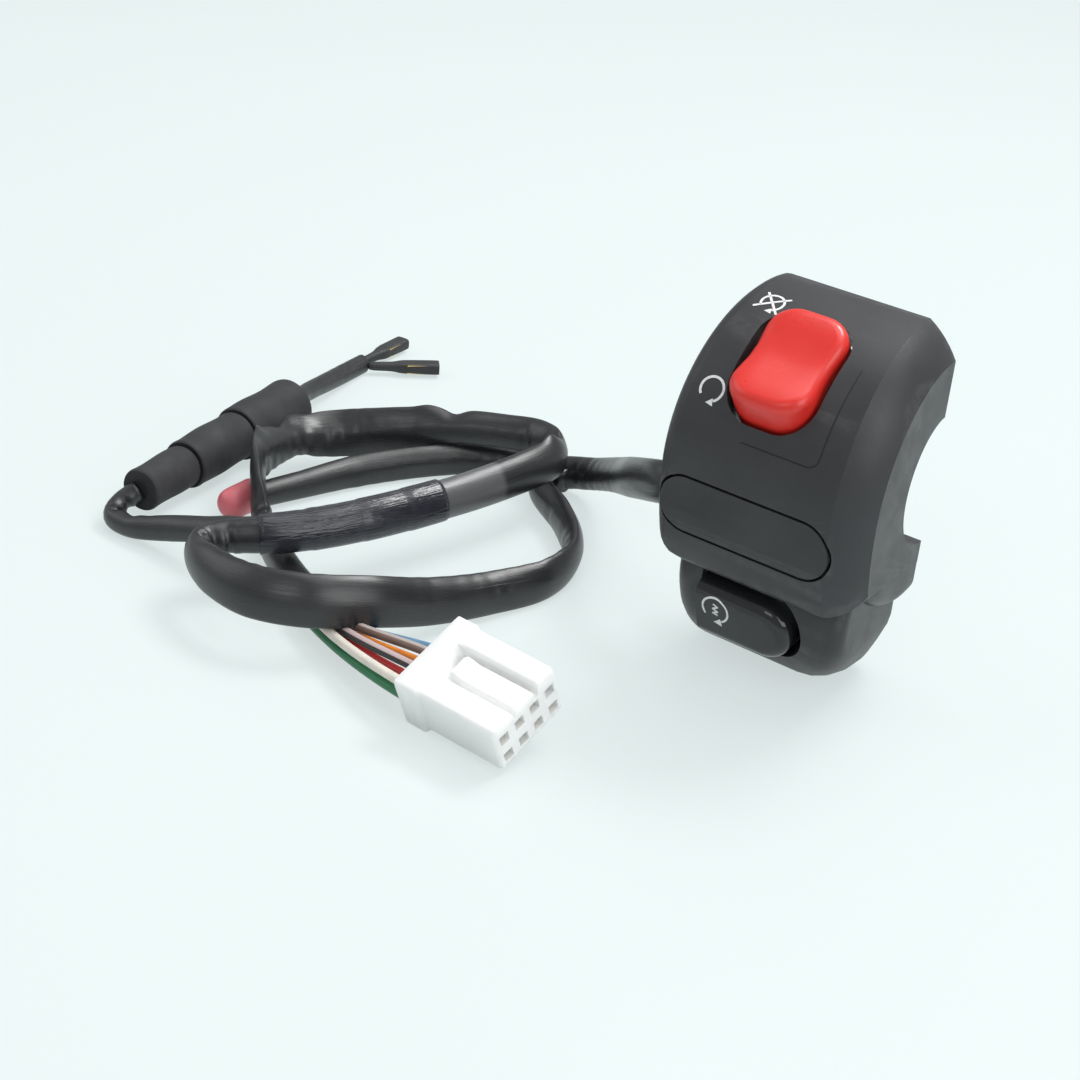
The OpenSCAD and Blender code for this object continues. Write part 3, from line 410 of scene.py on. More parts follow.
def run_of(line):
    """Length along a line at each of its points"""
    return np.concatenate([[0], np.cumsum(np.linalg.norm(np.diff(line, axis=0), axis=1))])


LINE_STEPS = 24


def smooth_line(points, step):
    """Even points on a smooth curve through the given ones, their lengths, and the given ones' lengths"""
    p = np.array(points, float) * MM
    q = np.vstack([p[:1], p, p[-1:]])
    dense = []
    t = np.linspace(0, 1, LINE_STEPS, endpoint=False)[:, None]
    for i in range(len(p) - 1):
        a, b, c, d = q[i], q[i + 1], q[i + 2], q[i + 3]
        dense.append(0.5 * (
            2 * b + (c - a) * t + (2 * a - 5 * b + 4 * c - d) * t ** 2 + (3 * b - a - 3 * c + d) * t ** 3))
    dense = np.vstack(dense + [p[-1:]])
    run = run_of(dense)
    count = max(8, int(round(run[-1] / step)))
    at = np.linspace(0, run[-1], count + 1)
    line = np.stack([np.interp(at, run, dense[:, k]) for k in range(3)], 1)
    return line, at, run[::LINE_STEPS]


def unit(v):
    return v / np.maximum(np.linalg.norm(v, axis=-1, keepdims=True), 1e-12)


def frames_along(line, up):
    along = unit(np.gradient(line, axis=0))
    rise = unit(np.array(up) - (along @ np.array(up))[:, None] * along)
    return along, rise, np.cross(along, rise)


def skin_rings(name, rings, lengths, material, closed=True):
    """A skin over rings of points, with UV laid along the run in metres and around it from 0 to 1"""
    count, around = rings.shape[:2]
    shape = bmesh.new()
    verts = [[shape.verts.new(p) for p in ring] for ring in rings]
    uv = shape.loops.layers.uv.new("run")

    def cover(corners, places):
        face = shape.faces.new(corners)
        face.smooth = True
        for loop, place in zip(face.loops, places):
            loop[uv].uv = place

    for i in range(count - 1):
        first, last = lengths[i], lengths[i + 1]
        for j, k in pairs(around):
            low, high = j / around, (j + 1) / around
            cover((verts[i][j], verts[i][k], verts[i + 1][k], verts[i + 1][j]),
                  ((first, low), (first, high), (last, high), (last, low)))
    if closed:
        for row, at, turn in ((verts[0], lengths[0], True), (verts[-1], lengths[-1], False)):
            middle = shape.verts.new(np.mean([v.co for v in row], axis=0))
            for j, k in pairs(around):
                cover((row[k], row[j], middle) if turn else (row[j], row[k], middle), [(at, 0.5)] * 3)
    return new_piece(name, mesh_from(name, shape), material)


def table_values(rows, marks, at):
    """Values listed by route point, spread smoothly along the run"""
    rows = np.array(rows, float)
    where = np.interp(rows[:, 0], np.arange(len(marks)), marks)
    spread = [np.interp(at, where, rows[:, k]) for k in range(1, rows.shape[1])]
    kernel = np.hanning(9)
    kernel /= kernel.sum()
    return [np.convolve(np.pad(v, 4, mode="edge"), kernel, mode="valid") for v in spread]


# Cords of the harness

SLEEVE_ROUTE = [
    (-29, -13.5, -9.5), (-36.5, -13.5, -9.5), (-43, -13, -11.5), (-54, -4, -18), (-64, 7, -25),
    (-74, 14, -31), (-82, 13.5, -33.5), (-81, 6.5, -33.5), (-70, -1, -33.5), (-61, -10, -33.5),
    (-58.5, -21, -33.5), (-62, -33, -33), (-65.5, -45, -31), (-69, -56, -28), (-75, -65, -26.5),
    (-84, -69, -26.5), (-94, -68, -27), (-101, -64, -27.5), (-100, -58.5, -27), (-95, -53.5, -26.5),
    (-90.5, -46, -26.5), (-86.5, -36, -26.5), (-82.5, -23, -26.5), (-79, -10, -26), (-77, 2, -25.5),
    (-79, 9, -26), (-86, 12, -26.8), (-92.5, 10.5, -27.3), (-101, 6.5, -28), (-110, 1.5, -29.8),
    (-117, -4.5, -31), (-121.5, -11, -31), (-122.5, -19, -29.8), (-118.5, -30.5, -27.3), (-112, -38, -28.6),
    (-107, -42, -33), (-100, -46.5, -33.7), (-90, -52, -33.7), (-81, -56, -33.7),
]
# Route point, half width, half thickness, roll in degrees, sharpness of the section
SLEEVE_FORM = [
    (0, 3.2, 3.1, 0, 2.0), (1, 3.4, 2.8, 0, 2.0), (2, 3.8, 2.2, -8, 1.8), (3, 3.7, 1.8, -4, 1.6),
    (4, 3.4, 1.9, 14, 1.6), (5, 3.2, 2.1, 18, 1.8), (6, 3.1, 2.3, 0, 1.9), (7, 3.2, 2.2, 0, 1.9),
    (8, 3.5, 2.0, -5, 1.8), (9, 3.7, 1.9, -10, 1.7), (10, 3.6, 1.8, -5, 1.6), (11, 3.7, 1.8, 6, 1.6),
    (12, 4.1, 1.8, 4, 1.6), (13, 4.4, 1.8, -2, 1.6), (14, 4.5, 1.8, 0, 1.6), (15, 4.4, 1.8, 6, 1.6),
    (16, 3.9, 1.9, 12, 1.7), (17, 3.2, 2.1, 10, 1.9), (18, 3.0, 2.4, 0, 2.1), (19, 3.2, 2.7, 0, 2.2),
    (20, 3.3, 2.8, 0, 2.2), (21, 3.4, 2.8, 0, 2.2), (22, 3.5, 2.8, 0, 2.2), (23, 3.7, 2.4, 0, 2.0),
    (24, 3.8, 1.9, -8, 1.7), (25, 3.7, 1.7, -5, 1.6), (26, 3.5, 1.8, 5, 1.7), (27, 3.3, 2.0, 12, 1.7),
    (28, 3.4, 1.9, 14, 1.5), (29, 4.3, 1.5, -6, 1.4), (30, 4.7, 1.4, -8, 1.3), (31, 4.5, 1.5, 10, 1.3),
    (32, 3.5, 2.0, 36, 1.5), (33, 4.2, 1.4, 12, 1.3), (34, 4.3, 1.4, 0, 1.3), (35, 3.6, 1.8, 0, 1.6),
    (36, 3.2, 2.4, 0, 1.9), (37, 3.1, 2.7, 0, 2.0), (38, 3.1, 2.9, 0, 2.0),
]
# Route point, angle round the section, reach along the run in mm, spread in degrees, height in mm
SLEEVE_KINKS = [
    (24.45, 90, 2.0, 34, 0.9), (24.9, 90, 1.8, 40, -0.9), (28.1, 95, 1.9, 45, -1.0),
    (28.6, 90, 2.2, 45, 0.5), (31.6, 90, 1.8, 40, 1.0), (32.1, 60, 1.7, 45, -1.1),
    (32.8, 95, 1.8, 35, 0.8), (3.3, 25, 4.5, 26, -0.6), (12.7, 20, 6.0, 30, -0.5),
    (14.6, 25, 5.0, 35, 0.35), (16.8, 80, 2.0, 40, -0.6), (10.2, 30, 4.0, 30, -0.6),
    (9.2, 60, 2.4, 40, -0.6), (34.9, 85, 2.0, 40, -0.6),
]
SLEEVE_STEP = 0.0007
LEAN = (-0.30, 0.30, 0.905)
# Folds on the inside of a bend: pitch and height in mm, and the bend, per metre, that brings them out in full
FOLD_PITCH, FOLD_HEIGHT, FOLD_BEND = 0.62, 0.38, 140.0
# Route points between which the tape lies, and the width of its laps in mm
TAPE_ENDS, TAPE_LAP = (18.75, 22.05), 9.5


def soft_rings(line, at, form, marks, around, seed, kinks=(), grow=0.0, ripple=0.08):
    """Rings of a limp flattened sleeve, with folds gathered on the inside of its bends"""
    wide, thick, roll, sharp = table_values(form, marks, at)
    along, rise, side = frames_along(line, LEAN)
    roll = np.radians(roll)[:, None]
    wide_axis = rise * np.cos(roll) + side * np.sin(roll)
    thin_axis = side * np.cos(roll) - rise * np.sin(roll)
    bend = np.gradient(along, axis=0) / np.gradient(at)[:, None]
    turn = np.linspace(0, 2 * math.pi, around, endpoint=False)[None, :]
    power = (2.0 / sharp)[:, None]
    c = np.sign(np.cos(turn)) * np.abs(np.cos(turn)) ** power
    s = np.sign(np.sin(turn)) * np.abs(np.sin(turn)) ** power
    chance = np.random.default_rng(seed)
    phase = chance.uniform(0, 2 * math.pi, 8)
    run = at[:, None] / MM
    slow = (0.5 * np.sin(run / 9.1 + phase[0] + 0.8 * np.sin(turn + phase[1]))
            + 0.5 * np.sin(run / 5.3 + phase[2] - turn))
    ring = ((wide[:, None] * s)[..., None] * wide_axis[:, None, :]
            + (thick[:, None] * c)[..., None] * thin_axis[:, None, :])
    outward = unit(ring)
    inside = np.clip((outward * bend[:, None, :]).sum(-1) / FOLD_BEND, 0, 1)
    folds = np.sin(run / FOLD_PITCH + 1.6 * np.sin(run / 3.7 + phase[3]) + phase[4]) * inside
    push = ripple * slow + FOLD_HEIGHT * folds + grow
    for where, angle, reach, spread, height in kinks:
        near = np.interp(where, np.arange(len(marks)), marks) / MM
        off = np.angle(np.exp(1j * (turn - math.radians(angle))))
        push = push + height * np.exp(-((run - near) / reach) ** 2 - (off / math.radians(spread)) ** 2)
    ring = ring + outward * push[..., None]
    rings = line[:, None, :] + ring * MM
    rings[..., 2] = np.maximum(rings[..., 2], ABOVE_TABLE)
    return rings


def soft_cord(name, route, form, material, node, seed, kinks=(), step=0.0006, around=24):
    line, at, marks = smooth_line(route, step)
    rings = soft_rings(line, at, form, marks, around, seed, kinks)
    piece = skin_rings(name, rings, at, material)
    return settle(piece, "housing", "sleeve_vinyl", node), line


def tape_wrap():
    line, at, marks = smooth_line(SLEEVE_ROUTE, SLEEVE_STEP)
    first, last = np.interp(TAPE_ENDS, np.arange(len(marks)), marks)
    inside = (at >= first) & (at <= last)
    part, run = line[inside], at[inside]
    rings = soft_rings(line, at, SLEEVE_FORM, marks, 40, 8, grow=0.34, ripple=0.1)[inside]
    lap = ((run - first) / MM / TAPE_LAP) % 1.0
    swell = 0.10 * (1 - lap)
    rings = part[:, None, :] + (rings - part[:, None, :]) * (1 + swell[:, None, None] / 3.4)
    lip = (rings[:1] - part[:1, None, :]) * 0.86 + part[:1, None, :]
    tail = (rings[-1:] - part[-1:, None, :]) * 0.88 + part[-1:, None, :]
    rings = np.concatenate([lip, rings, tail])
    run = np.concatenate([run[:1], run, run[-1:]])
    piece = skin_rings("tape_wrap_soft", rings, run, tape_black)
    return settle(piece, "housing", "tape", "tape_wrap")


sleeve, sleeve_line = soft_cord(
    "harness_sleeve_soft", SLEEVE_ROUTE, SLEEVE_FORM, sleeve_black, "harness_sleeve", 3,
    SLEEVE_KINKS, SLEEVE_STEP, 28)
tape = tape_wrap()

BRANCH_ROUTE = [
    (-93, -50.5, -26.5), (-98, -52, -27), (-105, -54, -29), (-116, -56, -32.5), (-124, -57.5, -34.7),
    (-129.5, -57, -34.8), (-130.5, -54, -33.2), (-129.4, -51, -31.6),
]
BRANCH_FORM = [
    (0, 1.9, 1.9, 0, 2.0), (1, 2.2, 1.7, 10, 2.0), (2, 2.5, 1.5, 30, 1.8), (3, 2.4, 1.5, 10, 1.8),
    (4, 2.1, 1.7, -5, 2.0), (5, 2.0, 1.8, 0, 2.0), (6, 1.9, 1.9, 0, 2.0), (7, 1.9, 1.9, 0, 2.0),
]
TERMINAL_ROUTE = [(-136, -4, -31.6), (-139.5, 4.5, -32.8), (-143, 18, -34.6), (-144.5, 27.5, -35)]
TERMINAL_FORM = [(0, 1.9, 1.9, 0, 2.0), (1, 1.95, 1.75, 8, 2.0), (2, 2.0, 1.6, -6, 2.0), (3, 2.0, 1.5, 0, 2.0)]
LEAD_ROUTE = [
    (-79, 12.5, -33.8), (-88, 12.5, -33.9), (-97, 7.5, -33.9), (-104, -1.5, -33.9), (-110, -13, -33.9),
    (-114, -25, -34.3), (-117, -34, -34.5),
]
LEAD_FORM = [
    (0, 2.4, 2.3, 0, 2.0), (1, 2.8, 2.0, 10, 1.8), (3, 3.1, 1.8, -8, 1.6), (4, 3.1, 1.8, 6, 1.6),
    (5, 2.6, 2.1, 6, 2.0), (6, 2.4, 2.4, 0, 2.0),
]

branch, branch_line = soft_cord(
    "branch_tube_soft", BRANCH_ROUTE, BRANCH_FORM, sleeve_black, "branch_tube", 11,
    [(2.3, 60, 3.0, 40, -0.5), (1.4, 120, 2.5, 40, -0.4)])
terminal, terminal_line = soft_cord(
    "terminal_tube_soft", TERMINAL_ROUTE, TERMINAL_FORM, lead_black, "terminal_tube", 21)
lead, lead_line = soft_cord("capped_lead_soft", LEAD_ROUTE, LEAD_FORM, sleeve_black, "capped_lead", 31)


# Wires from the sleeve into the connector

CONNECTOR_TURN, CONNECTOR_TIP = math.radians(-3), math.radians(22)
CONNECTOR_LENGTH, CONNECTOR_WIDTH = 20.0, 15.5
on_connector = (
    Matrix.Translation(Vector((-50, -61, TABLE / MM + CONNECTOR_WIDTH / 2 * math.sin(CONNECTOR_TIP))) * MM)
    @ Matrix.Rotation(CONNECTOR_TURN, 4, "Z") @ Matrix.Rotation(CONNECTOR_TIP, 4, "X"))
WAY_PITCH, ROW_PITCH, ROWS_MIDDLE = 3.6, 3.8, 4.5
WAYS = [((i % 4 - 1.5) * WAY_PITCH, ROWS_MIDDLE + (i // 4 - 0.5) * ROW_PITCH) for i in range(8)]
WAY_HALF = (1.0, 0.95)
WIRE_PITCH, WIRE_RADIUS, INNER_RADIUS = 1.7, 0.0008, 0.0007


def connector_point(x, y, z):
    return np.array(on_connector @ (Vector((x, y, z)) * MM))


def round_rings(line, radius, around, up=(0, 0, 1)):
    _, rise, side = frames_along(line, up)
    turn = np.linspace(0, 2 * math.pi, around, endpoint=False)
    ring = np.cos(turn)[None, :, None] * side[:, None, :] + np.sin(turn)[None, :, None] * rise[:, None, :]
    return line[:, None, :] + ring * radius


def harness_wires():
    out = unit(np.array(SLEEVE_ROUTE[-1], float) - np.array(SLEEVE_ROUTE[-2], float))
    across = np.array((-out[1], out[0], 0.0))
    wires = []
    for i, (way_y, way_z) in enumerate(WAYS[:7]):
        offset = WIRE_PITCH * ((i % 4 - 1.5) * across + np.array((0, 0, i // 4 - 0.5)))
        start = (np.array(SLEEVE_ROUTE[-1]) + offset) * MM
        end = connector_point(4, way_y, way_z)
        early, late = start + 12 * out * MM, connector_point(-9, way_y, way_z)
        t = np.linspace(0, 1, 64)[:, None]
        line = (1 - t) ** 3 * start + 3 * (1 - t) ** 2 * t * early + 3 * (1 - t) * t ** 2 * late + t ** 3 * end
        rings = round_rings(line, WIRE_RADIUS, 14)
        piece = skin_rings("harness_wire_%d" % (i + 1), rings, run_of(line), WIRE_SKINS[i])
        settle(piece, "housing", "wire_plastic")
        wires.append((piece, line))
    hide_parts("harness_wires")
    return wires


wires = harness_wires()


# Connector

def rounded_section(points, reach, steps):
    """Closed outline with each corner replaced by a small arc"""
    p = np.array(points, float)
    out = []
    for a, b, c in zip(np.roll(p, 1, axis=0), p, np.roll(p, -1, axis=0)):
        first, second = a - b, c - b
        from_first = b + unit(first) * min(reach, 0.45 * np.linalg.norm(first))
        to_second = b + unit(second) * min(reach, 0.45 * np.linalg.norm(second))
        for t in np.linspace(0, 1, steps):
            out.append((1 - t) ** 2 * from_first + 2 * (1 - t) * t * b + t ** 2 * to_second)
    return np.array(out)


# Along the connector: place, half width, underside, near land, near groove, middle land, far groove, far land
CONNECTOR_FORM = [
    (0.0, 7.6, 0.35, 9.9, 9.9, 9.9, 9.9, 9.9), (0.35, 7.95, 0.0, 10.3, 10.3, 10.3, 10.3, 10.3),
    (4.1, 7.95, 0.0, 10.3, 10.3, 10.3, 10.3, 10.3), (4.5, 7.75, 0.25, 10.0, 9.3, 8.9, 9.3, 10.25),
    (5.0, 7.45, 0.55, 9.75, 8.3, 7.9, 8.0, 10.2), (5.6, 7.4, 0.6, 9.7, 8.2, 8.1, 7.9, 10.2),
    (6.3, 7.4, 0.6, 9.7, 8.2, 9.6, 7.9, 10.2), (7.0, 7.4, 0.6, 9.7, 8.2, 10.15, 7.9, 10.2),
    (8.0, 7.4, 0.6, 9.7, 8.2, 9.9, 7.9, 10.2), (9.2, 7.4, 0.6, 9.7, 8.2, 9.45, 7.9, 10.2),
    (19.3, 7.4, 0.6, 9.7, 8.2, 9.4, 7.9, 10.2), (19.8, 7.2, 0.75, 9.5, 8.1, 9.2, 7.8, 10.0),
    (20.0, 6.9, 1.0, 9.2, 8.0, 8.9, 7.7, 9.7),
]


def connector_body():
    """Nylon housing: a collar at the rear, three lands parted by two grooves, eight open ways at each end"""
    shape = bmesh.new()

    def placed(x, points):
        return [shape.verts.new(on_connector @ (Vector((x, y, z)) * MM)) for y, z in points]

    rows = []
    for x, half, low, near, near_cut, middle, far_cut, far in CONNECTOR_FORM:
        rows.append(placed(x, rounded_section([
            (-half, low), (-half, near), (-2.75, near), (-2.6, near_cut), (-2.1, near_cut), (-1.95, middle),
            (2.35, middle), (2.5, far_cut), (3.1, far_cut), (3.25, far), (half, far), (half, low)], 0.75, 5)))
    lofted(shape, rows)
    for x, deep, row in ((0.0, 5.0, rows[0]), (CONNECTOR_LENGTH, 12.5, rows[-1])):
        rim = [shape.edges.get((row[j], row[k])) for j, k in pairs(len(row))]
        for way_y, way_z in WAYS:
            corners = [(way_y + sy * WAY_HALF[0], way_z + sz * WAY_HALF[1])
                       for sy, sz in ((-1, -1), (1, -1), (1, 1), (-1, 1))]
            mouth, end = placed(x, corners), placed(deep, corners)
            rim += [shape.edges.new((mouth[j], mouth[k])) for j, k in pairs(4)]
            lofted(shape, [mouth, end])
            shape.faces.new(end)
        bmesh.ops.triangle_fill(shape, edges=rim, use_beauty=True)
    mesh = mesh_from("connector_body", shape)
    piece = new_piece("connector_body", mesh, connector_white)
    shade(mesh, 50)
    return settle(piece, "housing", "white_nylon", "connector_housing")


connector = connector_body()


# Stepped sleeves, red cap, boots and inner leads

def turned(name, profile, origin, axis, material, around, uneven, seed):
    """A closed skin turned about an axis from (along, radius) pairs in mm, slightly out of round"""
    axis = unit(np.array(axis, float))
    side = unit(np.cross(axis, (0.0, 0.0, 1.0)) if abs(axis[2]) < 0.9 else np.cross(axis, (1.0, 0.0, 0.0)))
    rise = np.cross(side, axis)
    turn = np.linspace(0, 2 * math.pi, around, endpoint=False)
    chance = np.random.default_rng(seed)
    phase = chance.uniform(0, 2 * math.pi, 4)
    rings = []
    for along, radius in profile:
        waver = (0.6 * np.sin(2 * turn + along / 4.2 + phase[0])
                 + 0.4 * np.sin(3 * turn - along / 2.7 + phase[1]))
        r = radius * (1 + uneven * waver)
        rings.append(np.array(origin) + axis * along
                     + np.outer(np.cos(turn) * r, side) + np.outer(np.sin(turn) * r, rise))
    rings = np.array(rings) * MM
    rings[..., 2] = np.maximum(rings[..., 2], ABOVE_TABLE)
    lengths = run_of(np.array([(a, r, 0.0) for a, r in profile]) * MM)
    return skin_rings(name, rings, lengths, material)


STACK_START, STACK_END = np.array((-129, -51, -31.6)), np.array((-136, -4, -31.6))
SHRINKS = [("shrink_small", 8.2, 13.0), ("shrink_mid", 9.6, 16.5), ("shrink_large", 10.8, 18.0)]


def eased(points):
    """Profile points with their corners cut twice"""
    p = np.array(points, float)
    for _ in range(2):
        q = [p[0]]
        for a, b in zip(p[:-1], p[1:]):
            q += [0.75 * a + 0.25 * b, 0.25 * a + 0.75 * b]
        q.append(p[-1])
        p = np.array(q)
    return [tuple(v) for v in p]


def stepped_sleeves():
    axis = STACK_END - STACK_START
    pieces = []
    start = 0.0
    for i, (name, diameter, length) in enumerate(SHRINKS):
        r = diameter / 2
        profile = [(0.5, 0.6 * r), (0.15, 0.9 * r), (0.0, r - 0.3), (0.5, r)]
        profile += [(x, r - 0.12 * math.sin(x * 0.5 + i)) for x in np.linspace(1.5, length - 1.5, 9)]
        profile += [(length - 0.5, r), (length, r - 0.3), (length - 0.15, 0.9 * r), (length - 0.6, 0.6 * r)]
        origin = STACK_START + unit(axis) * start
        piece = turned(name + "_soft", eased(profile), origin, axis, shrink_black, 48, 0.012, 40 + i)
        pieces.append(settle(piece, "housing", "black_rubber", name))
        start += length
    return pieces


stack = stepped_sleeves()


def red_cap():
    profile = [
        (0.4, 2.4), (0.0, 2.6), (0.0, 2.95), (0.3, 3.1), (1.2, 3.02), (3.0, 3.0), (5.0, 2.98), (6.2, 2.85),
        (7.1, 2.4), (7.8, 1.5), (8.0, 0.5),
    ]
    piece = turned("red_cap_soft", eased(profile), (-117, -34, -33.9), (0, -1, 0), cap_red, 40, 0.008, 61)
    return settle(piece, "housing", "red_vinyl", "red_cap")


cap = red_cap()

NECK, BOOT_SIDES = 6.0, 24
BOOT_PLACES = [((-145.4, 28.2, -35.2), 94), ((-143, 28, -35.2), 44)]


def terminal_boots():
    """Two flat boots with a soft neck each, open at the front round the brass socket"""
    shape = bmesh.new()
    stations = [
        (-0.4, 0.5), (0.0, 0.95), (2.0, 1.0), (NECK - 0.8, 1.05), (NECK + 0.4, 1.5), (NECK + 1.6, 1.62),
        (NECK + 5.0, 1.68), (NECK + 8.6, 1.72), (NECK + 9.0, 1.66), (NECK + 8.9, 1.45), (NECK + 2.5, 1.4),
    ]
    for place, turn in BOOT_PLACES:
        frame_of = Matrix.Translation(Vector(place) * MM) @ Matrix.Rotation(math.radians(turn), 4, "Z")
        rows = []
        for x, half in stations:
            flat = min(1.0, max(0.0, (x - NECK + 1.0) / 2.0))
            tall = half * (1 - flat) + half * 0.727 * flat
            power = 1.0 - 0.55 * flat
            ring = []
            for k in range(BOOT_SIDES):
                a = 2 * math.pi * k / BOOT_SIDES
                c, s = math.cos(a), math.sin(a)
                y = half * math.copysign(abs(c) ** power, c)
                z = tall * math.copysign(abs(s) ** power, s)
                ring.append(shape.verts.new(frame_of @ (Vector((x, y, z)) * MM)))
            rows.append(ring)
        lofted(shape, rows)
        shape.faces.new(list(reversed(rows[0])))
        shape.faces.new(rows[-1])
    mesh = mesh_from("terminal_boots_soft", shape)
    piece = new_piece("terminal_boots_soft", mesh, boot_black)
    shade(mesh, 48)
    finer = piece.modifiers.new("finer", "SUBSURF")
    finer.levels = finer.render_levels = 1
    return settle(piece, "housing", "black_rubber", "terminal_boots")


boots = terminal_boots()
sockets = dressed("terminal_sockets", "housing", "brass", contact_brass, 0.00008)

# Each inner lead's wire colour and route
INNER_LEADS = [
    (0, [(-29, -14.7, -8.2), (-26.5, -16.6, -5), (-23, -16, 0), (-20.7, -13.4, 3.4)]),
    (5, [(-29, -12.3, -8.2), (-24.5, -13.6, -5), (-19.5, -15, -1), (-16.7, -13.4, 3.4)]),
    (1, [(-29, -14.7, -10.8), (-26, -14.2, -12), (-23.25, -9, -12.8), (-23.25, -3.5, -14),
         (-23.25, -1.545, -18.35)]),
    (2, [(-29, -12.3, -10.8), (-24, -12, -10.2), (-19, -12, -10.6), (-14.45, -9, -12.6), (-13.75, -3.5, -14),
         (-13.75, -1.545, -18.35)]),
]


def inner_leads():
    """Four thin leads inside the housing, from the grommet to the contacts"""
    for i, (colour, route) in enumerate(INNER_LEADS):
        line, at, _ = smooth_line(route, 0.0005)
        rings = round_rings(line, INNER_RADIUS, 12, (0.3, 0.2, 0.9))
        piece = skin_rings("inner_lead_%d" % (i + 1), rings, at, WIRE_SKINS[colour])
        settle(piece, "housing", "wire_plastic")
    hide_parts("inner_leads")


inner_leads()


# Geometry Nodes helpers

def node_tree(name, inputs):
    tree = bpy.data.node_groups.new(name, "GeometryNodeTree")
    for label, kind in inputs.items():
        tree.interface.new_socket(label, in_out="INPUT", socket_type="NodeSocket" + kind)
    tree.interface.new_socket("Geometry", in_out="OUTPUT", socket_type="NodeSocketGeometry")
    return tree, add(tree, "NodeGroupInput").outputs


def painted_end(tree, geometry, finish):
    """Ends a tree with plain geometry in its finish"""
    real = add(tree, "GeometryNodeRealizeInstances", {"Geometry": geometry})
    paint = add(tree, "GeometryNodeSetMaterial", {"Geometry": real.outputs["Geometry"], "Material": finish})
    add(tree, "NodeGroupOutput", {"Geometry": paint.outputs["Geometry"]})
    return tree


def named_vector(tree, name):
    node = add(tree, "GeometryNodeInputNamedAttribute", {"Name": name}, data_type="FLOAT_VECTOR")
    return node.outputs["Attribute"]


def made_by(name, tree, mesh, values, material):
    """Runs a tree on a mesh with the given inputs and keeps the result as a plain mesh"""
    holder = bpy.data.objects.new(name + "_maker", mesh)
    scene.collection.objects.link(holder)
    modifier = holder.modifiers.new("maker", "NODES")
    modifier.node_group = tree
    for item in tree.interface.items_tree:
        if item.item_type == "SOCKET" and item.in_out == "INPUT" and item.name in values:
            modifier[item.identifier] = values[item.name]
    bpy.context.view_layer.update()
    result = bpy.data.meshes.new_from_object(holder.evaluated_get(bpy.context.evaluated_depsgraph_get()))
    result.name = name
    holder.modifiers.remove(modifier)
    bpy.data.objects.remove(holder)
    return new_piece(name, result, material)


# Local frames of the two switches

DRUM_RADIUS, DRUM_Y, DRUM_ANGLE, POD_ANGLE = 26.3, -1.9, 42, 105
on_drum = (Matrix.Translation(Vector((-18.7, DRUM_Y, 0)) * MM)
           @ Matrix.Rotation(math.radians(DRUM_ANGLE), 4, "X"))
on_pod = (Matrix.Translation(Vector((-18.5, -6, -20)) * MM)
          @ Matrix.Rotation(math.radians(POD_ANGLE), 4, "X"))


# Starter spring

SPRING_WIRE, SPRING_CLEARANCE = 0.8, 0.05
SPRING_SEAT, BUTTON_SEAT, BUTTON_TRAVEL = 8.4, 18.8 - 2.2, 3.0


def coil_tree():
    tree, given = node_tree("coil", {
        "Turns": "Float", "Radius": "Float", "Low": "Float", "Height": "Float", "Wire": "Float",
        "Finish": "Material"})
    spiral = add(tree, "GeometryNodeCurveSpiral", {
        "Resolution": 36, "Rotations": given["Turns"], "Start Radius": given["Radius"],
        "End Radius": given["Radius"], "Height": given["Height"]})
    lift = add(tree, "ShaderNodeCombineXYZ", {"Z": given["Low"]})
    move = add(tree, "GeometryNodeTransform", {
        "Geometry": spiral.outputs["Curve"], "Translation": lift.outputs["Vector"]})
    ring = add(tree, "GeometryNodeCurvePrimitiveCircle", {
        "Resolution": 12, "Radius": calculated(tree, "MULTIPLY", given["Wire"], 0.5)})
    skin = add(tree, "GeometryNodeCurveToMesh", {
        "Curve": move.outputs["Geometry"], "Profile Curve": ring.outputs["Curve"], "Fill Caps": True})
    return painted_end(tree, skin.outputs["Mesh"], given["Finish"])


def starter_spring():
    low = SPRING_SEAT + SPRING_WIRE / 2 + SPRING_CLEARANCE
    high = BUTTON_SEAT - SPRING_WIRE / 2 - SPRING_CLEARANCE
    piece = made_by("starter_spring_coil", coil_tree(), bpy.data.meshes.new("coil"), {
        "Turns": 5.0, "Radius": 0.0032, "Low": low * MM, "Height": (high - low) * MM,
        "Wire": SPRING_WIRE * MM, "Finish": pin_steel}, pin_steel)
    piece.data.transform(on_pod)
    reworked(piece.data, faces_outwards)
    shade(piece.data, 40)
    settle(piece, "housing", "steel", "starter_spring")
    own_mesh(piece)


starter_spring()


# Screws of the two modules

SCREW_SIDES, CROSS_HALF, CROSS_DEPTH = 32, 0.26, 0.5


def screw_mesh():
    """Pan head with a cross recess, a short neck and a blunt thread"""
    shape = bmesh.new()
    profile = [
        (-1.2, 0.0), (-1.2, 0.55), (-1.14, 1.2), (-0.95, 1.7), (-0.6, 1.86), (-0.05, 1.9),
        (0.0, 1.8), (0.0, 1.05)]
    profile += [(0.25 + 0.35 * k, 0.86 if k % 2 else 1.05) for k in range(20)] + [(7.2, 0.4), (7.4, 0.0)]
    rows = []
    for along, radius in profile:
        ring = []
        for k in range(SCREW_SIDES):
            a = 2 * math.pi * k / SCREW_SIDES
            arm = min(abs(math.cos(a)), abs(math.sin(a))) * radius
            recessed = along < -1.0 and 0 < radius < 1.3 and arm < CROSS_HALF
            deep = along + CROSS_DEPTH if recessed else along
            ring.append(shape.verts.new((radius * math.cos(a) * MM, radius * math.sin(a) * MM, deep * MM)))
        rows.append(ring)
    lofted(shape, rows)
    bmesh.ops.remove_doubles(shape, verts=shape.verts, dist=0.000002)
    mesh = mesh_from("module_screw", shape)
    shade(mesh, 35)
    return mesh


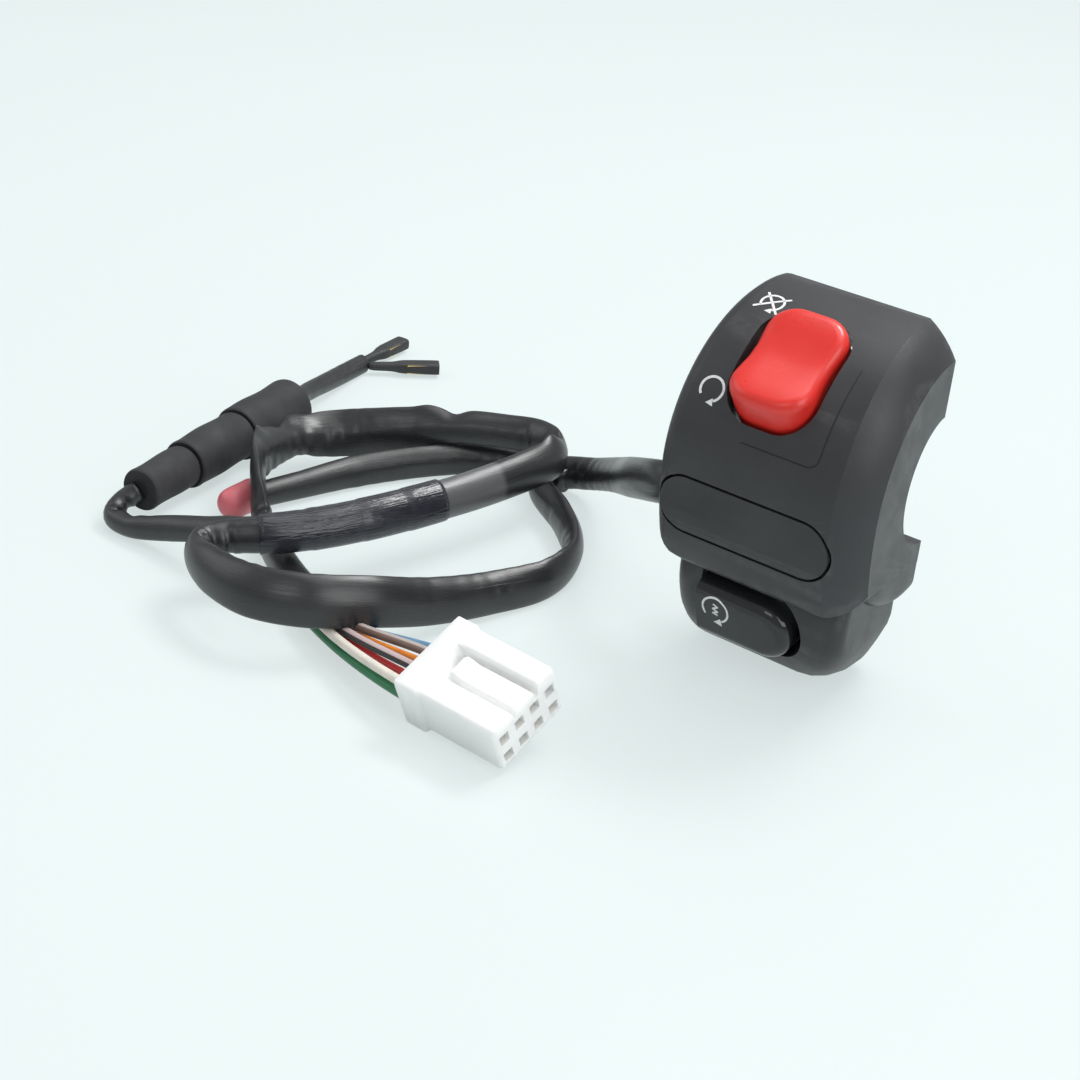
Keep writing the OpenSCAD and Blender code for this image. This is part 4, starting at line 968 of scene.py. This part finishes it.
def screws_on_posts_tree():
    tree, given = node_tree("screws_on_posts", {
        "Geometry": "Geometry", "Screw": "Object", "Finish": "Material"})
    rotation = add(tree, "FunctionNodeEulerToRotation", {"Euler": named_vector(tree, "turn")})
    screw = add(tree, "GeometryNodeObjectInfo", {"Object": given["Screw"]})
    points = add(tree, "GeometryNodeMeshToPoints", {"Mesh": given["Geometry"]})
    copies = add(tree, "GeometryNodeInstanceOnPoints", {
        "Points": points.outputs["Points"], "Instance": screw.outputs["Geometry"],
        "Rotation": rotation.outputs["Rotation"]})
    return painted_end(tree, copies.outputs["Instances"], given["Finish"])


def module_screws():
    places = [(on_drum, (s * 9.9, 0, 11.5), DRUM_ANGLE) for s in (-1, 1)]
    places += [(on_pod, (s * 5.5, -9, 4.0), POD_ANGLE) for s in (-1, 1)]
    points = bpy.data.meshes.new("screw_places")
    points.from_pydata([tuple(where @ (Vector(p) * MM)) for where, p, _ in places], [], [])
    turn = points.attributes.new("turn", "FLOAT_VECTOR", "POINT")
    for i, (_, _, angle) in enumerate(places):
        turn.data[i].vector = (math.radians(angle), 0, 0)
    pattern = bpy.data.objects.new("screw_pattern", screw_mesh())
    piece = made_by("module_screws_turned", screws_on_posts_tree(), points, {
        "Screw": pattern, "Finish": pin_steel}, pin_steel)
    bpy.data.objects.remove(pattern)
    shade(piece.data, 35)
    settle(piece, "housing", "steel", "module_screws")


module_screws()


# Housing and its switches

dressed("front_housing", "housing", "black_plastic", housing_black, 0.00022, 30, 2)
dressed("blank_cover", "housing", "black_plastic", cover_black, 0.0003, 40, 3)
dressed("screw_inserts", "housing", "brass", contact_brass, 0.00015)
dressed("cable_grommet", "housing", "black_rubber", grommet_rubber, 0.0003, 40, 3)
dressed("kill_carrier", "housing", "dark_plastic", carrier_black, 0.00015)
dressed("rocker_pin", "housing", "steel", pin_steel, 0.00015)
dressed("kill_contacts", "housing", "brass", contact_brass, 0.00005)
dressed("starter_base", "housing", "dark_plastic", carrier_black, 0.00015)
dressed("starter_contacts", "housing", "brass", contact_brass, 0.00008)
dressed("kill_rocker", "kill_rocker", "red_plastic", rocker_red, 0.0003, 34, 3)

# The rocker's outline: corner radius, straight half sides, how far its waist draws in and over what length
CORNER, HALF_ACROSS, HALF_ALONG, WAIST, WAIST_LENGTH = 5.6, 1.9, 4.2, 0.107, 19.6
PIN_HEIGHT, ROCKER_REST = 22.8, -9
WALL_POINTS = 64


def outline_wall(name, to_place, profile, material, body, slot):
    """Thin wall that follows the rocker's outline, from steps outwards and heights that may change along it"""
    rings = []
    for out, height in profile:
        ring = []
        for k in range(WALL_POINTS):
            a = 2 * math.pi * (k + 0.5) / WALL_POINTS
            c, s = math.cos(a), math.sin(a)
            y = math.copysign(HALF_ALONG, s) + (CORNER + out) * s
            drawn_in = 1 - WAIST * max(0.0, math.cos(math.pi * y / WAIST_LENGTH)) ** 2
            x = (math.copysign(HALF_ACROSS, c) + (CORNER + out) * c) * drawn_in
            z = height if height > 0 else math.sqrt((DRUM_RADIUS + height) ** 2 - y * y)
            ring.append(tuple(to_place @ (Vector((x, y, z)) * MM)))
        rings.append(ring)
    rings = np.array(rings)
    piece = skin_rings(name, rings, run_of(rings[:, 0]), material, closed=False)

    def close(shape):
        bmesh.ops.bridge_loops(shape, edges=[e for e in shape.edges if e.is_boundary])
        faces_outwards(shape)

    reworked(piece.data, close)
    settle(piece, body, slot)


# Heights above the drum's axis; a height below zero is a depth under the drum's skin
SKIRT_STEPS = (
    (-0.3, 22.6), (-0.1, 22.4), (-0.1, 20.0), (-0.1, 17.6), (-0.3, 17.3), (-0.8, 17.3),
    (-0.9, 17.6), (-0.9, 21.8))
LIP_STEPS = (
    (1.2, -1.4), (1.1, -2.4), (1.1, 19.0), (1.1, 16.8), (1.3, 16.5), (2.1, 16.5), (2.3, 16.8), (2.3, -1.4))
in_rocker = (
    on_drum @ Matrix.Translation((0, 0, PIN_HEIGHT * MM)) @ Matrix.Rotation(math.radians(ROCKER_REST), 4, "X")
    @ Matrix.Translation((0, 0, -PIN_HEIGHT * MM)))
outline_wall("opening_lip", on_drum, LIP_STEPS, housing_black, "housing", "black_plastic")
outline_wall("rocker_skirt", in_rocker, SKIRT_STEPS, rocker_red, "kill_rocker", "red_plastic")
dressed("contact_shoe", "kill_rocker", "ivory_plastic", slider_ivory, 0.00012)
dressed("bridge_contact", "kill_rocker", "brass", contact_brass, 0.00005)
dressed("starter_button", "starter_button", "gloss_black", button_black, 0.0003, 34, 3)
dressed("starter_bridge", "starter_button", "brass", contact_brass, 0.00005)
connector_sockets = dressed("connector_sockets", "housing", "brass", contact_brass, 0.00008)


# Printed marks, and the fine dark line round the rocker that paints the shade in its groove

def lay_on_surface_tree():
    tree, given = node_tree("lay_on_surface", {
        "Geometry": "Geometry", "Surface": "Object", "Lift": "Float", "Finish": "Material"})
    inward = named_vector(tree, "inward")
    target = add(tree, "GeometryNodeObjectInfo", {"Object": given["Surface"]})
    ray = add(tree, "GeometryNodeRaycast", {
        "Ray Length": 0.02, "Target Geometry": target.outputs["Geometry"], "Ray Direction": inward})
    off = add(tree, "ShaderNodeVectorMath", {
        0: inward, "Scale": calculated(tree, "MULTIPLY", given["Lift"], -1.0)}, operation="SCALE")
    lifted = add(tree, "ShaderNodeVectorMath", {
        0: ray.outputs["Hit Position"], 1: off.outputs["Vector"]}, operation="ADD")
    miss = add(tree, "FunctionNodeBooleanMath", {0: ray.outputs["Is Hit"]}, operation="NOT")
    trim = add(tree, "GeometryNodeDeleteGeometry", {
        "Geometry": given["Geometry"], "Selection": miss.outputs["Boolean"]})
    lay = add(tree, "GeometryNodeSetPosition", {
        "Geometry": trim.outputs["Geometry"], "Position": lifted.outputs["Vector"]})
    return painted_end(tree, lay.outputs["Geometry"], given["Finish"])


SURFACE_TREE = lay_on_surface_tree()
STROKE_STEP, ARROW_ROWS = 0.16, 5
# Where the rays to the surface start: metres from the drum's axis, and mm along the button's axis
DRUM_RAYS, BUTTON_RAYS = 0.0320, 24.0


def stroke(points, width):
    """Flat ribbon along a polyline, as quads in mark coordinates"""
    p = np.array(points, float)
    run = run_of(np.column_stack([p, np.zeros(len(p))]))
    count = max(2, int(round(run[-1] / STROKE_STEP)))
    at = np.linspace(0, run[-1], count + 1)
    q = np.column_stack([np.interp(at, run, p[:, k]) for k in range(2)])
    t = unit(np.gradient(q, axis=0))
    n = np.column_stack([-t[:, 1], t[:, 0]]) * width / 2
    verts = np.concatenate([q + n, q - n])
    m = len(q)
    return verts, [(i, m + i, m + i + 1, i + 1) for i in range(m - 1)]


def arc(cx, cy, r, start, end, count=60):
    a = np.radians(np.linspace(start, end, count))
    return np.column_stack([cx + r * np.cos(a), cy + r * np.sin(a)])


def arrow_head(tip, direction, length, width):
    """Filled triangle, in rows so that it follows the surface"""
    d = unit(np.array(direction, float))
    n = np.array((-d[1], d[0]))
    verts = []
    for f in np.arange(ARROW_ROWS + 1) / ARROW_ROWS:
        middle = np.array(tip) - d * length * f
        verts += [middle + n * width * f / 2, middle - n * width * f / 2]
    return np.array(verts), [(2 * i, 2 * i + 1, 2 * i + 3, 2 * i + 2) for i in range(ARROW_ROWS)]


def joined(parts):
    verts, faces = [], []
    for v, f in parts:
        faces += [tuple(k + len(verts) for k in face) for face in f]
        verts += [tuple(x) for x in v]
    return np.array(verts), faces


def run_mark(r, width):
    """An open ring that ends in an arrow"""
    end = math.radians(-62)
    tip = (r * math.cos(end) - 0.61 * r, r * math.sin(end) - 0.26 * r)
    return [stroke(arc(0, 0, r, 218, -62), width), arrow_head(tip, (-0.93, -0.25), 0.62 * r, 0.62 * r)]


def laid_mark(name, parts, place, surface, body,
              slot="white_nylon", material=mark_white, lift=0.00004, thick=0.00006):
    verts, faces = joined(parts)
    points, inward = zip(*[place(u, v) for u, v in verts])
    mesh = bpy.data.meshes.new(name)
    mesh.from_pydata([tuple(p) for p in points], [], faces)
    attribute = mesh.attributes.new("inward", "FLOAT_VECTOR", "POINT")
    attribute.data.foreach_set("vector", np.array(inward, float).ravel())
    piece = made_by(name, SURFACE_TREE, mesh, {"Surface": surface, "Lift": lift, "Finish": material}, material)

    def face_out(shape):
        bmesh.ops.remove_doubles(shape, verts=shape.verts, dist=0.000001)
        shape.normal_update()
        flipped = [f for f in shape.faces if f.normal.dot(Vector(inward[0])) > 0]
        bmesh.ops.reverse_faces(shape, faces=flipped)

    reworked(piece.data, face_out)
    ink = piece.modifiers.new("ink", "SOLIDIFY")
    ink.thickness = thick
    ink.offset = -1.0
    settle(piece, body, slot)


def on_drum_skin(x, angle):
    """Mark coordinates on the drum, u towards the grip and v up over the drum"""
    def place(u, v):
        a = math.radians(angle) + v / DRUM_RADIUS
        inward = Vector((0, math.cos(a), -math.sin(a)))
        return Vector((x + u, DRUM_Y, 0)) * MM - inward * DRUM_RAYS, inward
    return place


def on_button_skin(x, y):
    direction = on_pod.to_3x3() @ Vector((0, 0, -1))

    def place(u, v):
        return on_pod @ (Vector((x + u, y + v, BUTTON_RAYS)) * MM), direction
    return place


surface_copy = bpy.data.objects.new("mark_surface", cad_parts["front_housing"].data)
button_copy = bpy.data.objects.new("button_surface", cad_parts["starter_button"].data)
laid_mark("mark_run", run_mark(2.0, 0.42), on_drum_skin(-28.7, 32), surface_copy, "housing")
cross = [stroke([(-2.5, -1.9), (2.35, 2.0)], 0.4), stroke([(-2.0, 2.15), (2.0, -2.3)], 0.4)]
laid_mark("mark_off", run_mark(1.9, 0.4) + cross, on_drum_skin(-27.7, 71), surface_copy, "housing")
bolt = stroke([(-0.35, 1.1), (0.55, 0.75), (-0.5, 0.1), (0.55, -0.25), (-0.45, -0.8), (0.5, -1.0)], 0.3)
laid_mark("mark_start", run_mark(2.4, 0.36) + [bolt], on_button_skin(-4.05, 1.6), button_copy, "starter_button")
# The groove is not cut into the drum: a near-black stroke laid on it paints the groove's shade
groove = np.vstack([[(0, 8.0), (0, -7.2)], arc(-1.8, -7.2, 1.8, 0, -90, 16)[1:], [(-13.5, -9.0)]])
laid_mark("panel_line", [stroke(groove, 0.26)], on_drum_skin(-7.5, 38), surface_copy, "housing",
          "black_plastic", painted_groove_shade, 0.00001, 0.00004)
bpy.data.objects.remove(surface_copy)
bpy.data.objects.remove(button_copy)


# Cords

def length_of(line):
    return float(run_of(line)[-1])


def outer_path(line, count=160):
    pick = np.linspace(0, len(line) - 1, min(count, len(line))).round().astype(int)
    return [tuple(p) for p in line[pick]]


length_of(sleeve_line)
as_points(outer_path(sleeve_line, 320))
for wire_piece, wire_line in wires:
    length_of(wire_line)
    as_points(outer_path(wire_line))
tuple(branch_line[0])
length_of(branch_line)
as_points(outer_path(branch_line))
tuple(terminal_line[0])
length_of(terminal_line)
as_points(outer_path(terminal_line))
tuple(lead_line[0])
length_of(lead_line)
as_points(outer_path(lead_line))


# Floor, world and lamps

FLOOR_REACH, FLOOR_GLOW = 30.0, 0.66


def pale_floor():
    mesh = bpy.data.meshes.new("floor")
    corners = [(x * FLOOR_REACH, y * FLOOR_REACH, TABLE) for x, y in ((-1, -1), (1, -1), (1, 1), (-1, 1))]
    mesh.from_pydata(corners, [], [(0, 1, 2, 3)])
    material, tree, shader = blank_material("floor_pale")
    place = object_place(tree)
    feed(tree, shader, {
        "Base Color": mottled(tree, place, 2.2, 2.0, (0.66, 0.73, 0.727), (0.69, 0.755, 0.752)),
        "Roughness": patchy(tree, place, 9.0, 3.0, (0.16, 0.22)),
        "Specular IOR Level": 0.35,
    })
    glow = add(tree, "ShaderNodeEmission", {"Color": (0.84, 0.925, 0.92, 1.0)})
    rays = add(tree, "ShaderNodeLightPath").outputs
    either = rays["Is Camera Ray"]
    for kind in ("Is Glossy Ray", "Is Transmission Ray"):
        either = calculated(tree, "MAXIMUM", either, rays[kind])
    mix = add(tree, "ShaderNodeMixShader", {
        "Fac": levels(tree, either, 0.0, 1.0, 0.0, FLOOR_GLOW), 1: shader.outputs["BSDF"],
        2: glow.outputs["Emission"]})
    feed(tree, tree.nodes["Material Output"], {"Surface": mix.outputs["Shader"]})
    floor = new_piece("floor", mesh, material)


def soft_lamp(name, place, aim, size, watts):
    data = bpy.data.lights.new(name, "AREA")
    data.shape = "RECTANGLE"
    data.size, data.size_y = size
    data.energy = watts
    lamp = bpy.data.objects.new(name, data)
    scene.collection.objects.link(lamp)
    turn = (Vector(aim) - Vector(place)).to_track_quat("-Z", "Y")
    lamp.matrix_world = Matrix.Translation(Vector(place)) @ turn.to_matrix().to_4x4()


def set_world():
    world = bpy.data.worlds.new("studio")
    world.use_nodes = True
    tree = world.node_tree
    feed(tree, tree.nodes["Background"], {"Color": (0.90, 0.95, 0.95, 1.0), "Strength": 0.45})
    scene.world = world


pale_floor()
set_world()
soft_lamp("top_box", (0.0, 0.25, 0.85), (-0.04, -0.02, -0.02), (0.9, 0.7), 4.0)
soft_lamp("right_box", (0.75, -0.15, 0.45), (-0.02, -0.01, 0.0), (0.5, 0.6), 2.6)
soft_lamp("left_box", (-0.8, -0.35, 0.5), (-0.06, -0.02, -0.01), (0.6, 0.6), 1.2)
soft_lamp("back_box", (0.04, 0.42, 0.64), (-0.08, -0.02, -0.02), (0.34, 0.22), 3.4)
soft_lamp("front_box", (0.1, -0.8, 0.7), (-0.04, -0.03, -0.02), (0.5, 0.3), 1.1)
